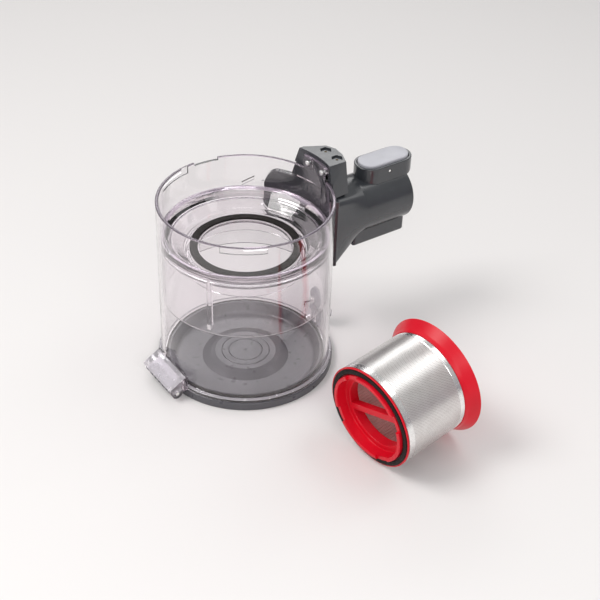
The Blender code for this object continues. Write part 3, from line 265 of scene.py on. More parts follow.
def wrapped(inner, outer, start, end, low, high, steps=48):
    """Curved plate round Z. low and high are heights, or give the height at an angle in degrees."""
    columns = []
    for step in range(steps + 1):
        turn = start + (end - start) * step / steps
        bottom = low(turn) if callable(low) else low
        top = high(turn) if callable(high) else high
        corners = ((inner, bottom), (outer, bottom), (outer, top), (inner, top))
        columns.append([polar(radius, turn, z) for radius, z in corners])
    return loft(columns)


def loft(rings):
    """Closed solid through rings of points, flat at both ends."""
    shape = bmesh.new()
    rows = [[shape.verts.new(point) for point in ring] for ring in rings]
    shape.faces.new(rows[0])
    shape.faces.new(rows[-1])
    for before, after in zip(rows, rows[1:]):
        for index in range(len(before)):
            beside = (index + 1) % len(before)
            shape.faces.new((before[index], before[beside], after[beside], after[index]))
    return tidy(shape)


# --- pieces ---
SLOTS = {part["node"]: part["material_slot"] for part in frame["record"]["subparts"]}
BODIES = {node: body for body, nodes in frame["record"]["behaviour"]["bodies"].items() for node in nodes}


def mesh_object(name, shape, matrix=None):
    if matrix:
        moved(shape, matrix)
        if matrix.determinant() < 0:
            bmesh.ops.reverse_faces(shape, faces=shape.faces)
    mesh = bpy.data.meshes.new(name)
    shape.to_mesh(mesh)
    shape.free()
    made = bpy.data.objects.new(name, mesh)
    SCENE.collection.objects.link(made)
    return made


def combine(made, operation, shapes, matrix=None):
    """Joins shapes to a piece or cuts them away, one after the other."""
    for number, shape in enumerate(shapes):
        helper = mesh_object(f"helper_{number}", shape, matrix)
        modifier = made.modifiers.new("shape", "BOOLEAN")
        modifier.operation = operation
        modifier.object = helper
        apply_modifiers(made)
        bpy.data.objects.remove(helper)


def bevel(made, width, segments=3, angle=40.0):
    modifier = made.modifiers.new("edge", "BEVEL")
    modifier.width = width
    modifier.segments = segments
    modifier.limit_method = "ANGLE"
    modifier.angle_limit = math.radians(angle)
    apply_modifiers(made)


def apply_modifiers(made):
    bpy.context.view_layer.update()
    ready = made.evaluated_get(bpy.context.evaluated_depsgraph_get())
    mesh = bpy.data.meshes.new_from_object(ready)
    made.modifiers.clear()
    made.data = mesh


def settle(made, node, *others, sharp=32.0):
    """Shades a piece, gives it its slot's look and any others, and puts it in its CAD node's place."""
    made.data.shade_smooth()
    made.data.set_sharp_from_angle(angle=math.radians(sharp))
    normals = made.modifiers.new("normals", "WEIGHTED_NORMAL")
    normals.keep_sharp = True
    apply_modifiers(made)
    for look in (LOOKS[SLOTS[node]], *others):
        made.data.materials.append(look)
    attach(made, BODIES[node])
    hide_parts(node)
    return made


# --- materials ---
def set_stops(node, places, colours):
    for stop, place, colour in zip(node.color_ramp.elements, places, colours):
        stop.position = place
        stop.color = (*colour, 1.0)


class Look:
    """A Principled material with the noise and bump nodes that its surface needs."""

    def __init__(self, name, colour, roughness, metallic=0.0):
        self.material = bpy.data.materials.new(name)
        self.material.use_nodes = True
        self.tree = self.material.node_tree
        self.shader = self.tree.nodes["Principled BSDF"]
        self.set("Base Color", (*colour, 1.0))
        self.set("Roughness", roughness)
        self.set("Metallic", metallic)
        self.place = self.add("ShaderNodeTexCoord").outputs["Object"]
        self.colour, self.roughness, self.height = colour, roughness, None

    def add(self, kind, **settings):
        node = self.tree.nodes.new(kind)
        for name, value in settings.items():
            setattr(node, name, value)
        return node

    def set(self, socket, value):
        self.shader.inputs[socket].default_value = value

    def glass(self, weight, index=1.5):
        self.set("Transmission Weight", weight)
        self.set("IOR", index)

    def link(self, start, end):
        self.tree.links.new(start, end)

    def noise(self, scale, detail=4.0):
        """Noise with the given number of features per metre."""
        node = self.add("ShaderNodeTexNoise")
        node.inputs["Scale"].default_value = scale
        node.inputs["Detail"].default_value = detail
        self.link(self.place, node.inputs["Vector"])
        return node.outputs["Fac"]

    def ramp(self, factor, low, high, start=0.3, end=0.7):
        """A value or a colour between low and high as the factor goes from start to end."""
        if isinstance(low, tuple):
            node = self.add("ShaderNodeValToRGB")
            set_stops(node, (start, end), (low, high))
            self.link(factor, node.inputs["Fac"])
            return node.outputs["Color"]
        node = self.add("ShaderNodeMapRange")
        for name, value in (("From Min", start), ("From Max", end), ("To Min", low), ("To Max", high)):
            node.inputs[name].default_value = value
        self.link(factor, node.inputs["Value"])
        return node.outputs["Result"]

    def tint(self, scale, spread, **how):
        """Colour that drifts by a share of itself over the surface."""
        dark = tuple(channel * (1.0 - spread) for channel in self.colour)
        light = tuple(min(channel * (1.0 + spread), 1.0) for channel in self.colour)
        self.link(self.ramp(self.noise(scale, **how), dark, light), self.shader.inputs["Base Color"])

    def gloss(self, scale, spread, **how):
        low, high = self.roughness * (1.0 - spread), self.roughness * (1.0 + spread)
        self.link(self.ramp(self.noise(scale, **how), low, high), self.shader.inputs["Roughness"])

    def bump(self, height, distance, strength=1.0):
        """Relief of this depth in metres. A second one lies on the first."""
        node = self.add("ShaderNodeBump")
        node.inputs["Distance"].default_value = distance
        node.inputs["Strength"].default_value = strength
        self.link(height, node.inputs["Height"])
        if self.height:
            self.link(self.height, node.inputs["Normal"])
        self.height = node.outputs["Normal"]
        self.link(self.height, self.shader.inputs["Normal"])

    def see_through(self, shade):
        """Light that only passes through doesn't bend, so that the floor below isn't left dark."""
        path = self.add("ShaderNodeLightPath")
        clear = self.add("ShaderNodeBsdfTransparent")
        clear.inputs["Color"].default_value = (*shade, 1.0)
        last = self.shader.outputs[0]
        for ray in ("Is Diffuse Ray", "Is Shadow Ray"):
            mix = self.add("ShaderNodeMixShader")
            self.link(path.outputs[ray], mix.inputs[0])
            self.link(last, mix.inputs[1])
            self.link(clear.outputs[0], mix.inputs[2])
            last = mix.outputs[0]
        self.link(last, self.tree.nodes["Material Output"].inputs["Surface"])

    def absorb(self, colour, density):
        node = self.add("ShaderNodeVolumeAbsorption")
        node.inputs["Color"].default_value = (*colour, 1.0)
        node.inputs["Density"].default_value = density
        self.link(node.outputs[0], self.tree.nodes["Material Output"].inputs["Volume"])


def clear_look():
    """Injection-moulded clear plastic with a faint violet cast and slow waves in its surface."""
    look = Look("clear_moulded", (0.985, 0.975, 0.985), 0.015)
    look.glass(1.0, 1.53)
    look.tint(35.0, 0.012)
    look.bump(look.noise(40.0, detail=1.0), 0.05 * MM)
    look.bump(look.noise(900.0, detail=2.0), 0.001 * MM)
    look.see_through((0.982, 0.970, 0.976))
    look.absorb((0.40, 0.10, 0.30), 10.0)
    return look.material


def painted_highlight_look():
    """The same clear plastic painted white and milky: painted light where light gathers in it, a bright
    line on the foot flange and a pale fill in the hinge block.
    """
    look = Look("clear_painted_highlight", (0.90, 0.87, 0.92), 0.24)
    look.glass(0.68)
    look.tint(150.0, 0.05)
    look.gloss(300.0, 0.2)
    look.bump(look.noise(1500.0, detail=2.0), 0.006 * MM)
    look.see_through((0.80, 0.78, 0.81))
    return look.material


def painted_edge_highlight_look():
    """Top edges of the clear mouldings, painted with a lilac highlight line where light gathers."""
    look = Look("clear_edge_painted_highlight", (0.70, 0.58, 0.72), 0.12)
    look.glass(0.8)
    look.tint(120.0, 0.06)
    look.bump(look.noise(900.0, detail=2.0), 0.003 * MM)
    look.see_through((0.90, 0.86, 0.90))
    return look.material


def smoke_look():
    """Translucent grey plastic of the latch."""
    look = Look("smoke_moulded", (0.56, 0.57, 0.62), 0.12)
    look.glass(0.55)
    look.tint(120.0, 0.10)
    look.bump(look.noise(2600.0), 0.01 * MM)
    return look.material


def satin_look(name, colour, roughness, grain=2400.0, depth=0.006 * MM):
    """Satin moulded plastic: spark-eroded grain, with slow drifts in shade and gloss."""
    look = Look(name, colour, roughness)
    look.set("Specular IOR Level", 0.8)
    look.tint(70.0, 0.07)
    look.gloss(160.0, 0.16)
    look.bump(look.noise(grain, detail=6.0), depth)
    look.bump(look.noise(45.0, detail=1.0), 0.07 * MM)
    return look.material


def red_look():
    look = Look("red_moulded", (0.70, 0.003, 0.018), 0.34)
    look.set("Specular IOR Level", 0.32)
    look.tint(60.0, 0.05, detail=1.0)
    look.gloss(90.0, 0.12, detail=1.0)
    look.bump(look.noise(2800.0, detail=2.0), 0.002 * MM)
    look.bump(look.noise(40.0, detail=1.0), 0.04 * MM)
    return look.material


def rubber_look():
    look = Look("soft_rubber", (0.009, 0.007, 0.006), 0.6)
    look.set("Specular IOR Level", 0.25)
    look.tint(300.0, 0.3)
    look.gloss(500.0, 0.15)
    look.bump(look.noise(3600.0, detail=6.0), 0.03 * MM)
    return look.material


def steel_look(name="turned_steel", roughness=0.26):
    look = Look(name, (0.90, 0.895, 0.885), roughness, metallic=1.0)
    look.tint(400.0, 0.08)
    look.gloss(900.0, 0.35)
    look.bump(look.noise(2500.0), 0.006 * MM)
    return look.material


def brass_look():
    # Painted shade: the brass is kept far darker than brass so the contacts sit unseen in the shade of
    # their pockets.
    look = Look("contact_brass", (0.10, 0.075, 0.045), 0.5, metallic=1.0)
    look.tint(900.0, 0.25)
    look.gloss(700.0, 0.3)
    look.bump(look.noise(2600.0), 0.01 * MM)
    return look.material


def mesh_look():
    """Punched steel sheet. Its map's U runs round the drum and V along it, both in metres."""
    look = Look("punched_steel", (0.74, 0.725, 0.71), 0.30, metallic=1.0)
    place = look.add("ShaderNodeUVMap").outputs["UV"]
    parts = look.add("ShaderNodeSeparateXYZ")
    look.link(place, parts.inputs[0])
    around, along = parts.outputs["X"], parts.outputs["Y"]

    def maths(operation, first, second=None):
        node = look.add("ShaderNodeMath", operation=operation)
        for socket, value in zip(node.inputs, (first, second)):
            if isinstance(value, (int, float)):
                socket.default_value = value
            elif value is not None:
                look.link(value, socket)
        return node.outputs[0]

    row = maths("MULTIPLY", along, 1.0 / (0.9 * MM))
    shift = maths("MULTIPLY", maths("FLOOR", row), 0.31)
    column = maths("ADD", maths("MULTIPLY", around, 1.0 / (1.05 * MM)), shift)
    offset_a = maths("SUBTRACT", maths("FRACT", row), 0.5)
    offset_b = maths("SUBTRACT", maths("FRACT", column), 0.5)
    squared = maths("ADD", maths("MULTIPLY", offset_a, offset_a), maths("MULTIPLY", offset_b, offset_b))
    solid = look.ramp(squared, 0.0, 1.0, 0.055, 0.085)
    drift = look.noise(150.0)
    shade = look.add("ShaderNodeMix", data_type="RGBA")
    # The hole pattern is real; the holes' darker colour is painted shade from the drum's inside, seen
    # through them.
    shade.inputs["A"].default_value = (0.42, 0.385, 0.37, 1.0)
    look.link(solid, shade.inputs["Factor"])
    look.link(look.ramp(drift, (0.80, 0.785, 0.77), (0.88, 0.87, 0.855)), shade.inputs["B"])
    look.link(shade.outputs["Result"], look.shader.inputs["Base Color"])
    look.link(look.ramp(solid, 0.55, 0.30, 0.0, 1.0), look.shader.inputs["Roughness"])
    look.bump(solid, 0.10 * MM)
    look.bump(drift, 0.04 * MM)
    look.see_through((0.62, 0.60, 0.59))
    return look.material


def painted_light_inner_face_look():
    """Inner face of the punched steel sheet, lit through its holes, in a pale pinkish colour lighter
    than the steel: painted light inside the drum.
    """
    look = Look("drum_inner_face_painted_light", (0.80, 0.55, 0.53), 0.5, metallic=0.3)
    look.tint(220.0, 0.08)
    look.bump(look.noise(1600.0), 0.02 * MM)
    look.see_through((0.62, 0.60, 0.59))
    return look.material


LOOKS = {  # by material slot
    "clear_plastic": clear_look(),
    "charcoal_plastic": satin_look("charcoal_satin", (0.038, 0.042, 0.048), 0.20),
    "lid_plastic": satin_look("lid_satin", (0.070, 0.069, 0.080), 0.31, grain=1500.0),
    "button_plastic": satin_look("button_satin", (0.46, 0.465, 0.505), 0.42, 3000.0, 0.02 * MM),
    "smoke_plastic": smoke_look(),
    "red_plastic": red_look(),
    "black_rubber": rubber_look(),
    "steel": steel_look(),
    "steel_mesh": mesh_look(),
    "brass": brass_look(),
}
PAINTED_HIGHLIGHT_CLEAR = painted_highlight_look()
PAINTED_EDGE_HIGHLIGHT = painted_edge_highlight_look()
BAND_STEEL = steel_look("band_steel", 0.22)
INNER_FACE_PAINTED_LIGHT = painted_light_inner_face_look()


def dress_cad_nodes():
    for node, slot in SLOTS.items():
        piece = frame["nodes"][node]
        piece.data.materials.clear()
        piece.data.materials.append(LOOKS[slot])


# --- cup ---
def lobe_share(turn):
    """1 along the flange, and a rounded fall to a half at the side lobe's end."""
    into = min(max((turn - (FLANGE_TO - LOBE_ROUNDING)) / LOBE_ROUNDING, 0.0), 1.0)
    return math.sqrt(1.0 - 0.75 * into * into)


def flange_low(margin=0.0):
    def edge(turn):
        share = min(max((turn - FLANGE_STEP) / FLANGE_STEP_RUN, 0.0), 1.0)
        share = share * share * (3.0 - 2.0 * share)
        drop = (INLET_Z - FLANGE_BOTTOM_Z) * (1.0 - share) + (INLET_Z - LOBE_Z) * share
        return INLET_Z - drop * lobe_share(turn) - margin

    return edge


def flange_high(margin=0.0):
    return lambda turn: INLET_Z + (FLANGE_TOP_Z - INLET_Z) * lobe_share(turn) + margin


def cup_outline():
    foot_top = CUP_BOTTOM + 2.5 * MM
    return rounded([
        (CUP_RADIUS, RIM_Z, 0.75),
        (CUP_RADIUS, foot_top, 0.5),
        (FOOT_RADIUS, foot_top, 0.7),
        (FOOT_RADIUS, CUP_BOTTOM, 0.3),
        (CUP_BORE, CUP_BOTTOM, 0.2),
        (CUP_BORE, RIM_Z, 0.75),
    ])


def hinge_block():
    """Sloping clear block over the lid's knuckle."""
    x, z = HINGE_PIN.x, HINGE_PIN.z
    outline = rounded([
        (-CUP_RADIUS + 1.1 * MM, CUP_BOTTOM, 0),
        (-CUP_RADIUS + 1.1 * MM, z + 11.5 * MM, 0),
        (-CUP_RADIUS - 0.5 * MM, z + 11.5 * MM, 1.0),
        (x - 5.5 * MM, z + 4.6 * MM, 1.2),
        (x - 5.5 * MM, z + 2.9 * MM, 0.8),
        (x - 2.8 * MM, CUP_BOTTOM, 0),
    ])
    half = KNUCKLE_HALF + EAR_WIDTH
    return prism(outline, -half, half, "Y")


def hinge_hollow():
    """Space inside the hinge's clear block, open to the knuckle."""
    x, z = HINGE_PIN.x, HINGE_PIN.z
    outline = rounded([
        (-CUP_RADIUS - 1.6 * MM, CUP_BOTTOM + 2.6 * MM, 0),
        (-CUP_RADIUS - 1.6 * MM, z + 9.2 * MM, 0.8),
        (x - 3.6 * MM, z + 3.4 * MM, 0.8),
        (x - 2.0 * MM, CUP_BOTTOM + 2.6 * MM, 0),
    ])
    half = KNUCKLE_HALF - 0.6 * MM
    return prism(outline, -half, half, "Y")


def latch_cheek(side):
    x, z = LATCH_PIN.x, LATCH_PIN.z
    wall = CUP_RADIUS - 1.1 * MM
    outline = rounded([
        (wall, CUP_BOTTOM, 0),
        (x - 1.0 * MM, CUP_BOTTOM, 0.4),
        (x + 3.2 * MM, z - 3.0 * MM, 1.5),
        (x + 3.2 * MM, z + 2.0 * MM, 1.5),
        (x - 1.0 * MM, z + 3.4 * MM, 1.0),
        (wall, z + 5.1 * MM, 0),
    ])
    inner = 6.0 * MM
    edges = sorted((side * inner, side * (inner + 2.0 * MM)))
    return prism(outline, edges[0], edges[1], "Y")


def bayonet_lug(turn):
    """Slanted lug inside the cup that the cleaner's body turns against."""
    points = []
    for angle, rise in ((turn - 4.5, 5.0 * MM), (turn + 4.5, 0.0)):
        low = LEDGE_Z + 0.5 * MM + rise
        for radius in (CUP_BORE - 1.6 * MM, CUP_BORE + 1.1 * MM):
            points += [polar(radius, angle, low), polar(radius, angle, low + 2.0 * MM)]
    return hull(points)


def tab_frame():
    """Raised border on the tab's inner face, round the far screw."""
    low, high = RIM_Z + 1.4 * MM, TAB_TOP - 0.7 * MM
    first, last = SCREW_ANGLES["far"] - 4.5, SCREW_ANGLES["far"] + 4.0
    bar_turn, bar_height = 0.9, 0.8 * MM
    sides = [
        (first, first + bar_turn, low, high),
        (last - bar_turn, last, low, high),
        (first + 0.01, last - 0.01, low + INSET, low + bar_height),
        (first + 0.01, last - 0.01, high - bar_height, high - INSET),
    ]
    return [wrapped(CUP_BORE - 0.7 * MM, CUP_BORE + 0.3 * MM, *side, 12) for side in sides]


def make_cup():
    cup = mesh_object("cup_shell_clear", turned(cup_outline()))
    wall = CUP_RADIUS - 1.1 * MM
    pad_turn = math.degrees(1.5 * MM / CUP_RADIUS)
    pad = wrapped(
        wall, PAD_RADIUS, FLANGE_FROM - pad_turn, FLANGE_TO + pad_turn,
        flange_low(1.5 * MM), flange_high(1.5 * MM), steps=90,
    )
    tab = wrapped(CUP_BORE + INSET, CUP_RADIUS - INSET, TAB_FROM, TAB_TO, RIM_Z - 2 * MM, TAB_TOP, 32)
    ears = []
    for side in (-1, 1):
        inner, outer = side * KNUCKLE_HALF, side * (KNUCKLE_HALF + EAR_WIDTH)
        ends = (HINGE_PIN.x, inner, HINGE_PIN.z), (HINGE_PIN.x, outer, HINGE_PIN.z)
        ears.append(rod(*ends, KNUCKLE_RADIUS, 47))
    cheeks = [latch_cheek(side) for side in (-1, 1)]
    lugs = [bayonet_lug(turn) for turn in LUG_ANGLES]
    combine(cup, "UNION", [pad, tab, hinge_block(), *ears, *cheeks, *lugs, *tab_frame()])
    knuckle = across(HINGE_PIN, KNUCKLE_HALF, KNUCKLE_RADIUS + 0.5 * MM, BOSS_SIDES)
    pin_hole = across(HINGE_PIN, THROUGH, 1.5 * MM, PIN_SIDES)
    latch_hole = across(LATCH_PIN, 11.0 * MM, 1.3 * MM, PIN_SIDES)
    port = wrapped(CUP_BORE - MM, PAD_RADIUS + MM, PORT_FROM, PORT_TO, PORT_LOW, PORT_HIGH, 32)
    notch = wrapped(CUP_BORE - MM, CUP_RADIUS + MM, *RIM_NOTCH, RIM_Z - 2.0 * MM, RIM_Z + MM, 24)
    slots = []
    depth, low = CUP_BORE + 0.95 * MM, RIM_Z - 5.4 * MM
    for entry_from, entry_to, slot_from, slot_to in RIM_SLOTS:
        slots.append(wrapped(CUP_BORE - MM, depth, entry_from, entry_to, low, RIM_Z + MM, 20))
        slots.append(wrapped(CUP_BORE - MM, depth, slot_from, slot_to, low, RIM_Z - 2.2 * MM, 20))
    holes = []
    for turn in SCREW_ANGLES.values():
        ends = polar(CUP_BORE - MM, turn, SCREW_Z), polar(CUP_RADIUS + MM, turn, SCREW_Z)
        holes.append(rod(*ends, 1.3 * MM, PIN_SIDES))
    cuts = [knuckle, hinge_hollow(), pin_hole, latch_hole, port, notch, *slots, *holes]
    combine(cup, "DIFFERENCE", cuts)
    settle(cup, "cup_shell", PAINTED_HIGHLIGHT_CLEAR, PAINTED_EDGE_HIGHLIGHT)
    # Painted light on the clear cup: the foot flange's top and the hinge block take the white, milky
    # finish.
    foot_middle, foot_top = CUP_BOTTOM + 1.2 * MM, CUP_BOTTOM + 2.6 * MM
    for face in cup.data.polygons:
        x, y, z = face.center
        beside = x < -(CUP_RADIUS + 0.4 * MM) and abs(y) < KNUCKLE_HALF + 0.5 * MM
        outside = math.hypot(x, y) > CUP_RADIUS + 0.1 * MM
        if beside and z > foot_top or outside and foot_middle < z < foot_top:
            face.material_index = 1
        # Painted highlight: upward faces along the top edges take the lilac edge finish.
        elif face.normal.z > UPWARD and z > RIM_Z - 0.9 * MM:
            face.material_index = 2


def make_insert():
    under = SEAT_Z - 1.6 * MM
    bore = SLEEVE_RADIUS - 1.8 * MM
    neck = 38.2 * MM
    outline = rounded([
        (SLEEVE_RADIUS, LEDGE_Z, 0.5),
        (SLEEVE_RADIUS, SLEEVE_BOTTOM, 0.5),
        (bore, SLEEVE_BOTTOM, 0.5),
        (bore, LEDGE_Z - 3.0 * MM, 3.0),
        (43.4 * MM, under + 0.6 * MM, 2.5),
        (neck + 1.8 * MM, under, 0.6),
        (neck + 1.8 * MM, under - 10.9 * MM, 0.5),
        (neck, under - 10.9 * MM, 0.5),
        (neck, under, 0.8),
        (30.9 * MM, under, 0.4),
        (30.9 * MM, SEAT_Z, 0.5),
        (41.3 * MM, SEAT_Z, 0.8),
        (42.6 * MM, SEAT_Z + 3.4 * MM, 2.0),
        (52.6 * MM, LEDGE_Z - 1.2 * MM, 5.0),
        (54.4 * MM, LEDGE_Z, 0.6),
    ], steps=7)
    insert = mesh_object("vortex_insert_clear", turned(outline))
    port = wrapped(bore - 1.3 * MM, SLEEVE_RADIUS + MM, PORT_FROM, PORT_TO, PORT_LOW, PORT_HIGH, 32)
    combine(insert, "DIFFERENCE", [port])
    rib = prism(
        rounded([
            (bore - 3.6 * MM, SLEEVE_BOTTOM + 4.6 * MM, 0.6),
            (bore - 3.6 * MM, LEDGE_Z - 5.0 * MM, 0),
            (bore + 0.9 * MM, LEDGE_Z - 5.0 * MM, 0),
            (bore + 0.9 * MM, SLEEVE_BOTTOM + 2.0 * MM, 0),
            (bore - 0.6 * MM, SLEEVE_BOTTOM + 2.0 * MM, 0.5),
        ]),
        -1.2 * MM, 1.2 * MM, "Y",
    )
    bmesh.ops.rotate(rib, verts=rib.verts, matrix=Matrix.Rotation(math.radians(RIB_ANGLE), 3, "Z"))
    combine(insert, "UNION", [rib])
    settle(insert, "vortex_insert", PAINTED_EDGE_HIGHLIGHT)
    for face in insert.data.polygons:
        # Painted highlight: the ledge's upward faces take the lilac edge finish.
        if face.normal.z > UPWARD and face.center.z > LEDGE_Z - 0.6 * MM:
            face.material_index = 1


def make_gasket():
    inner, outer = 32.1 * MM, 37.5 * MM
    low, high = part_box("insert_gasket")[0].z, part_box("insert_gasket")[1].z
    outline = rounded([
        (inner, low, 0.2),
        (outer, low, 0.2),
        (outer, high, 0.6),
        (inner, high, 0.6),
    ])
    settle(mesh_object("insert_gasket_rubber", turned(outline, 180)), "insert_gasket")


# --- connector ---
def funnel_section():
    """Rounded outline of the funnel's wide end, as (y, z) points that go round the socket's axis."""
    def side(turn):
        return CUP_RADIUS * math.sin(math.radians(turn)) * 1.09

    low = FLANGE_BOTTOM_Z + 0.3 * MM
    top = FLANGE_TOP_Z - 0.3 * MM
    corners = [
        (side(FLANGE_FROM), low, 3.0),
        (side(FLANGE_STEP), low, 5.0),
        (side(30.0), LOBE_Z, 5.0),
        (side(30.0), top, 5.0),
        (side(FLANGE_FROM), top, 5.0),
    ]
    return rounded(corners, 8)


def ray_out(outline, angle):
    """Point of a closed outline in this direction from the socket's axis."""
    way = (math.cos(angle), math.sin(angle))
    best = 0.0
    for index, (y1, z1) in enumerate(outline):
        y0, z0 = outline[index - 1]
        dy, dz = y1 - y0, z1 - z0
        cross = way[0] * dz - way[1] * dy
        if abs(cross) < 1e-12:
            continue
        reach = (y0 * dz - (z0 - INLET_Z) * dy) / cross
        share = (y0 * way[1] - (z0 - INLET_Z) * way[0]) / cross
        if -1e-9 <= share <= 1.0 + 1e-9 and reach > best:
            best = reach
    return best * way[0], INLET_Z + best * way[1]


def make_connector():
    edges = FLANGE_FROM, FLANGE_TO, flange_low(), flange_high()
    plate = wrapped(FLANGE_RADIUS - MM, FLANGE_FACE, *edges, 90)
    body = mesh_object("connector_body_shell", plate)
    bevel(body, 0.6 * MM, 3, 50)
    count = 180
    wide = funnel_section()
    rings = []
    for share in (0.0, 0.12, 0.3, 0.5, 0.7, 0.88, 1.0):
        ring = []
        for step in range(count):
            angle = 2 * math.pi * (step + 0.5) / count
            y0, z0 = ray_out(wide, angle)
            x0 = math.sqrt(max((FLANGE_FACE - 0.8 * MM) ** 2 - y0 * y0, 0.0))
            y1 = FUNNEL_RADIUS * math.cos(angle)
            z1 = INLET_Z + FUNNEL_RADIUS * math.sin(angle)
            ring.append((x0 + (FUNNEL_X - x0) * share, y0 + (y1 - y0) * share, z0 + (z1 - z0) * share))
        rings.append(ring)
    tube_outline = rounded([
        (0.0, FUNNEL_X - 2.0 * MM, 0),
        (SOCKET_RADIUS + 0.1 * MM, FUNNEL_X - 2.0 * MM, 0),
        (SOCKET_RADIUS + 0.1 * MM, MOUTH_X, 0.9),
        (0.0, MOUTH_X, 0),
    ])
    along_x = Matrix.Translation((0, 0, INLET_Z)) @ Matrix.Rotation(math.radians(90), 4, "Y")
    tube = moved(turned(tube_outline, 180), along_x)
    combine(body, "UNION", [loft(rings), tube])
    drum = rod((0, 0, INLET_Z - 0.06), (0, 0, INLET_Z + 0.06), FLANGE_RADIUS, FINE + 1)
    bore_outline = rounded([
        (0.0, FUNNEL_X - 1.0 * MM, 0),
        (SOCKET_BORE, FUNNEL_X - 1.0 * MM, 0),
        (SOCKET_BORE, MOUTH_X - 0.8 * MM, 0),
        (SOCKET_BORE + 0.8 * MM, MOUTH_X + 0.1 * MM, 0),
        (0.0, MOUTH_X + 0.1 * MM, 0),
    ])
    bore = moved(turned(bore_outline, TUBE_SIDES), along_x)
    ring = [
        Vector((FUNNEL_X, 17.6 * MM * math.cos(turn), INLET_Z + 17.6 * MM * math.sin(turn)))
        for turn in (2 * math.pi * (step + 0.25) / 64 for step in range(64))
    ]
    inside = FLANGE_RADIUS - 4.0 * MM
    corners = [polar(inside, turn, z) for turn in (PORT_FROM, PORT_TO) for z in (PORT_LOW, PORT_HIGH)]
    hook_room = box(
        (HOOK_FROM, -HOOK_HALF, INLET_Z + 14.5 * MM),
        (HOOK_FROM + 4.5 * MM, HOOK_HALF, INLET_Z + 24.1 * MM),
    )
    combine(body, "DIFFERENCE", [drum, bore, hull(ring + corners), hook_room])
    settle(body, "connector_body")


TOWER_SHOULDERS = [(-0.56, -18.5), (0.78, -15.7), (0.97, -6.0), (1.0, 6.0), (0.79, 17.0)]
TOWER_SHOULDERS += [(0.29, 26.0), (-0.88, 27.0)]
TOWER_CROWN = [(-0.29, -12.5), (0.73, -12.5), (0.96, -2.7), (1.0, 6.1), (0.82, 12.8)]
TOWER_CROWN += [(0.0, 19.9), (-0.41, 19.9)]


def make_tower():
    """Corners are shares of the tower's depth along X and millimetres along Y, as in the CAD."""
    points = [
        Vector((CUP_RADIUS + x * TOWER_DEPTH, y * MM, height))
        for corners, height in ((TOWER_SHOULDERS, TOWER_FOOT), (TOWER_CROWN, TOWER_TOP))
        for x, y in corners
    ]
    tower = mesh_object("terminal_tower_shell", hull(points))
    bevel(tower, 0.5 * MM, 3, 25)
    above = RIM_Z + GAP
    room = turned([
        (0.0, TOWER_FOOT - MM),
        (FLANGE_RADIUS, TOWER_FOOT - MM),
        (FLANGE_RADIUS, above),
        (CUP_RADIUS + GAP, above),
        (CUP_RADIUS + GAP, TOWER_TOP + MM),
        (0.0, TOWER_TOP + MM),
    ])
    cuts = [room]
    middle = CUP_RADIUS + 0.58 * TOWER_DEPTH
    for side in (-5.5 * MM, 7.5 * MM):
        outline = [(Vector((middle, side, 0.0)) + polar(4.2 * MM, 60.0 * turn)).xy for turn in range(6)]
        cuts.append(prism(outline, TOWER_TOP - 1.25 * MM, TOWER_TOP + MM))
        cuts.append(rod((middle, side, TOWER_TOP - 4.5 * MM), (middle, side, TOWER_TOP), 0.8 * MM, 41))
    for turn in SCREW_ANGLES.values():
        ends = polar(CUP_RADIUS - MM, turn, SCREW_Z), polar(CUP_BORE + 8.3 * MM, turn, SCREW_Z)
        cuts.append(rod(*ends, 1.3 * MM, PIN_SIDES))
    combine(tower, "DIFFERENCE", cuts)
    settle(tower, "terminal_tower")


def make_screws():
    """Pan-head screws with a cross recess, put in from inside the cup."""
    under_head = CUP_BORE - GAP
    for name, turn in SCREW_ANGLES.items():
        outline = rounded([
            (0.0, 0.0, 0),
            (1.9 * MM, 0.0, 0.1),
            (1.9 * MM, 1.3 * MM, 0.8),
            (0.0, 1.3 * MM, 0),
        ])
        shank = [(0.0, -8.0 * MM), (0.3 * MM, -8.0 * MM)]
        threads = 11
        for number in range(threads):
            place = -7.4 * MM + number * 0.62 * MM
            shank += [(0.76 * MM, place), (1.0 * MM, place + 0.31 * MM)]
        shank += [(0.8 * MM, -0.4 * MM), (0.8 * MM, 0.3 * MM), (0.0, 0.3 * MM)]
        screw = mesh_object(f"tower_screw_{name}_steel", turned(outline, 48))
        combine(screw, "UNION", [turned(shank, 37)])
        blade, reach, floor = 0.22 * MM, 1.0 * MM, 0.7 * MM
        combine(screw, "DIFFERENCE", [
            box((-reach, -blade, floor), (reach, blade, 2 * MM)),
            box((-blade, -reach, floor), (blade, reach, 2 * MM)),
        ])
        way = polar(1.0, turn)
        stand = (-way).to_track_quat("Z", "Y").to_matrix().to_4x4()
        screw.data.transform(Matrix.Translation(polar(under_head, turn, SCREW_Z)) @ stand)
        settle(screw, f"tower_screw_{name}")


def make_collar():
    outline = stadium(BUTTON_FROM, BUTTON_TO, COLLAR_RADIUS)
    collar = mesh_object("button_collar_shell", prism(outline, INLET_Z + 12.0 * MM, COLLAR_TOP))
    bevel(collar, 0.7 * MM, 4)
    pocket_outline = stadium(BUTTON_FROM, BUTTON_TO, BUTTON_RADIUS + 0.75 * MM)
    pocket = prism(pocket_outline, COLLAR_FLOOR, COLLAR_TOP + MM)
    socket = rod((0.0, 0.0, INLET_Z), (MOUTH_X + 0.02, 0.0, INLET_Z), SOCKET_RADIUS + GAP, TUBE_SIDES)
    hook_room = box(
        (HOOK_FROM, -HOOK_HALF, INLET_Z),
        (HOOK_FROM + 5.0 * MM, HOOK_HALF, COLLAR_FLOOR + MM),
    )
    pin = sum(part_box("button_pin"), Vector()) / 2
    pin_hole = across(pin, 20.0 * MM, 1.2 * MM, 33)
    combine(collar, "DIFFERENCE", [pocket, socket, hook_room, pin_hole])
    settle(collar, "button_collar")


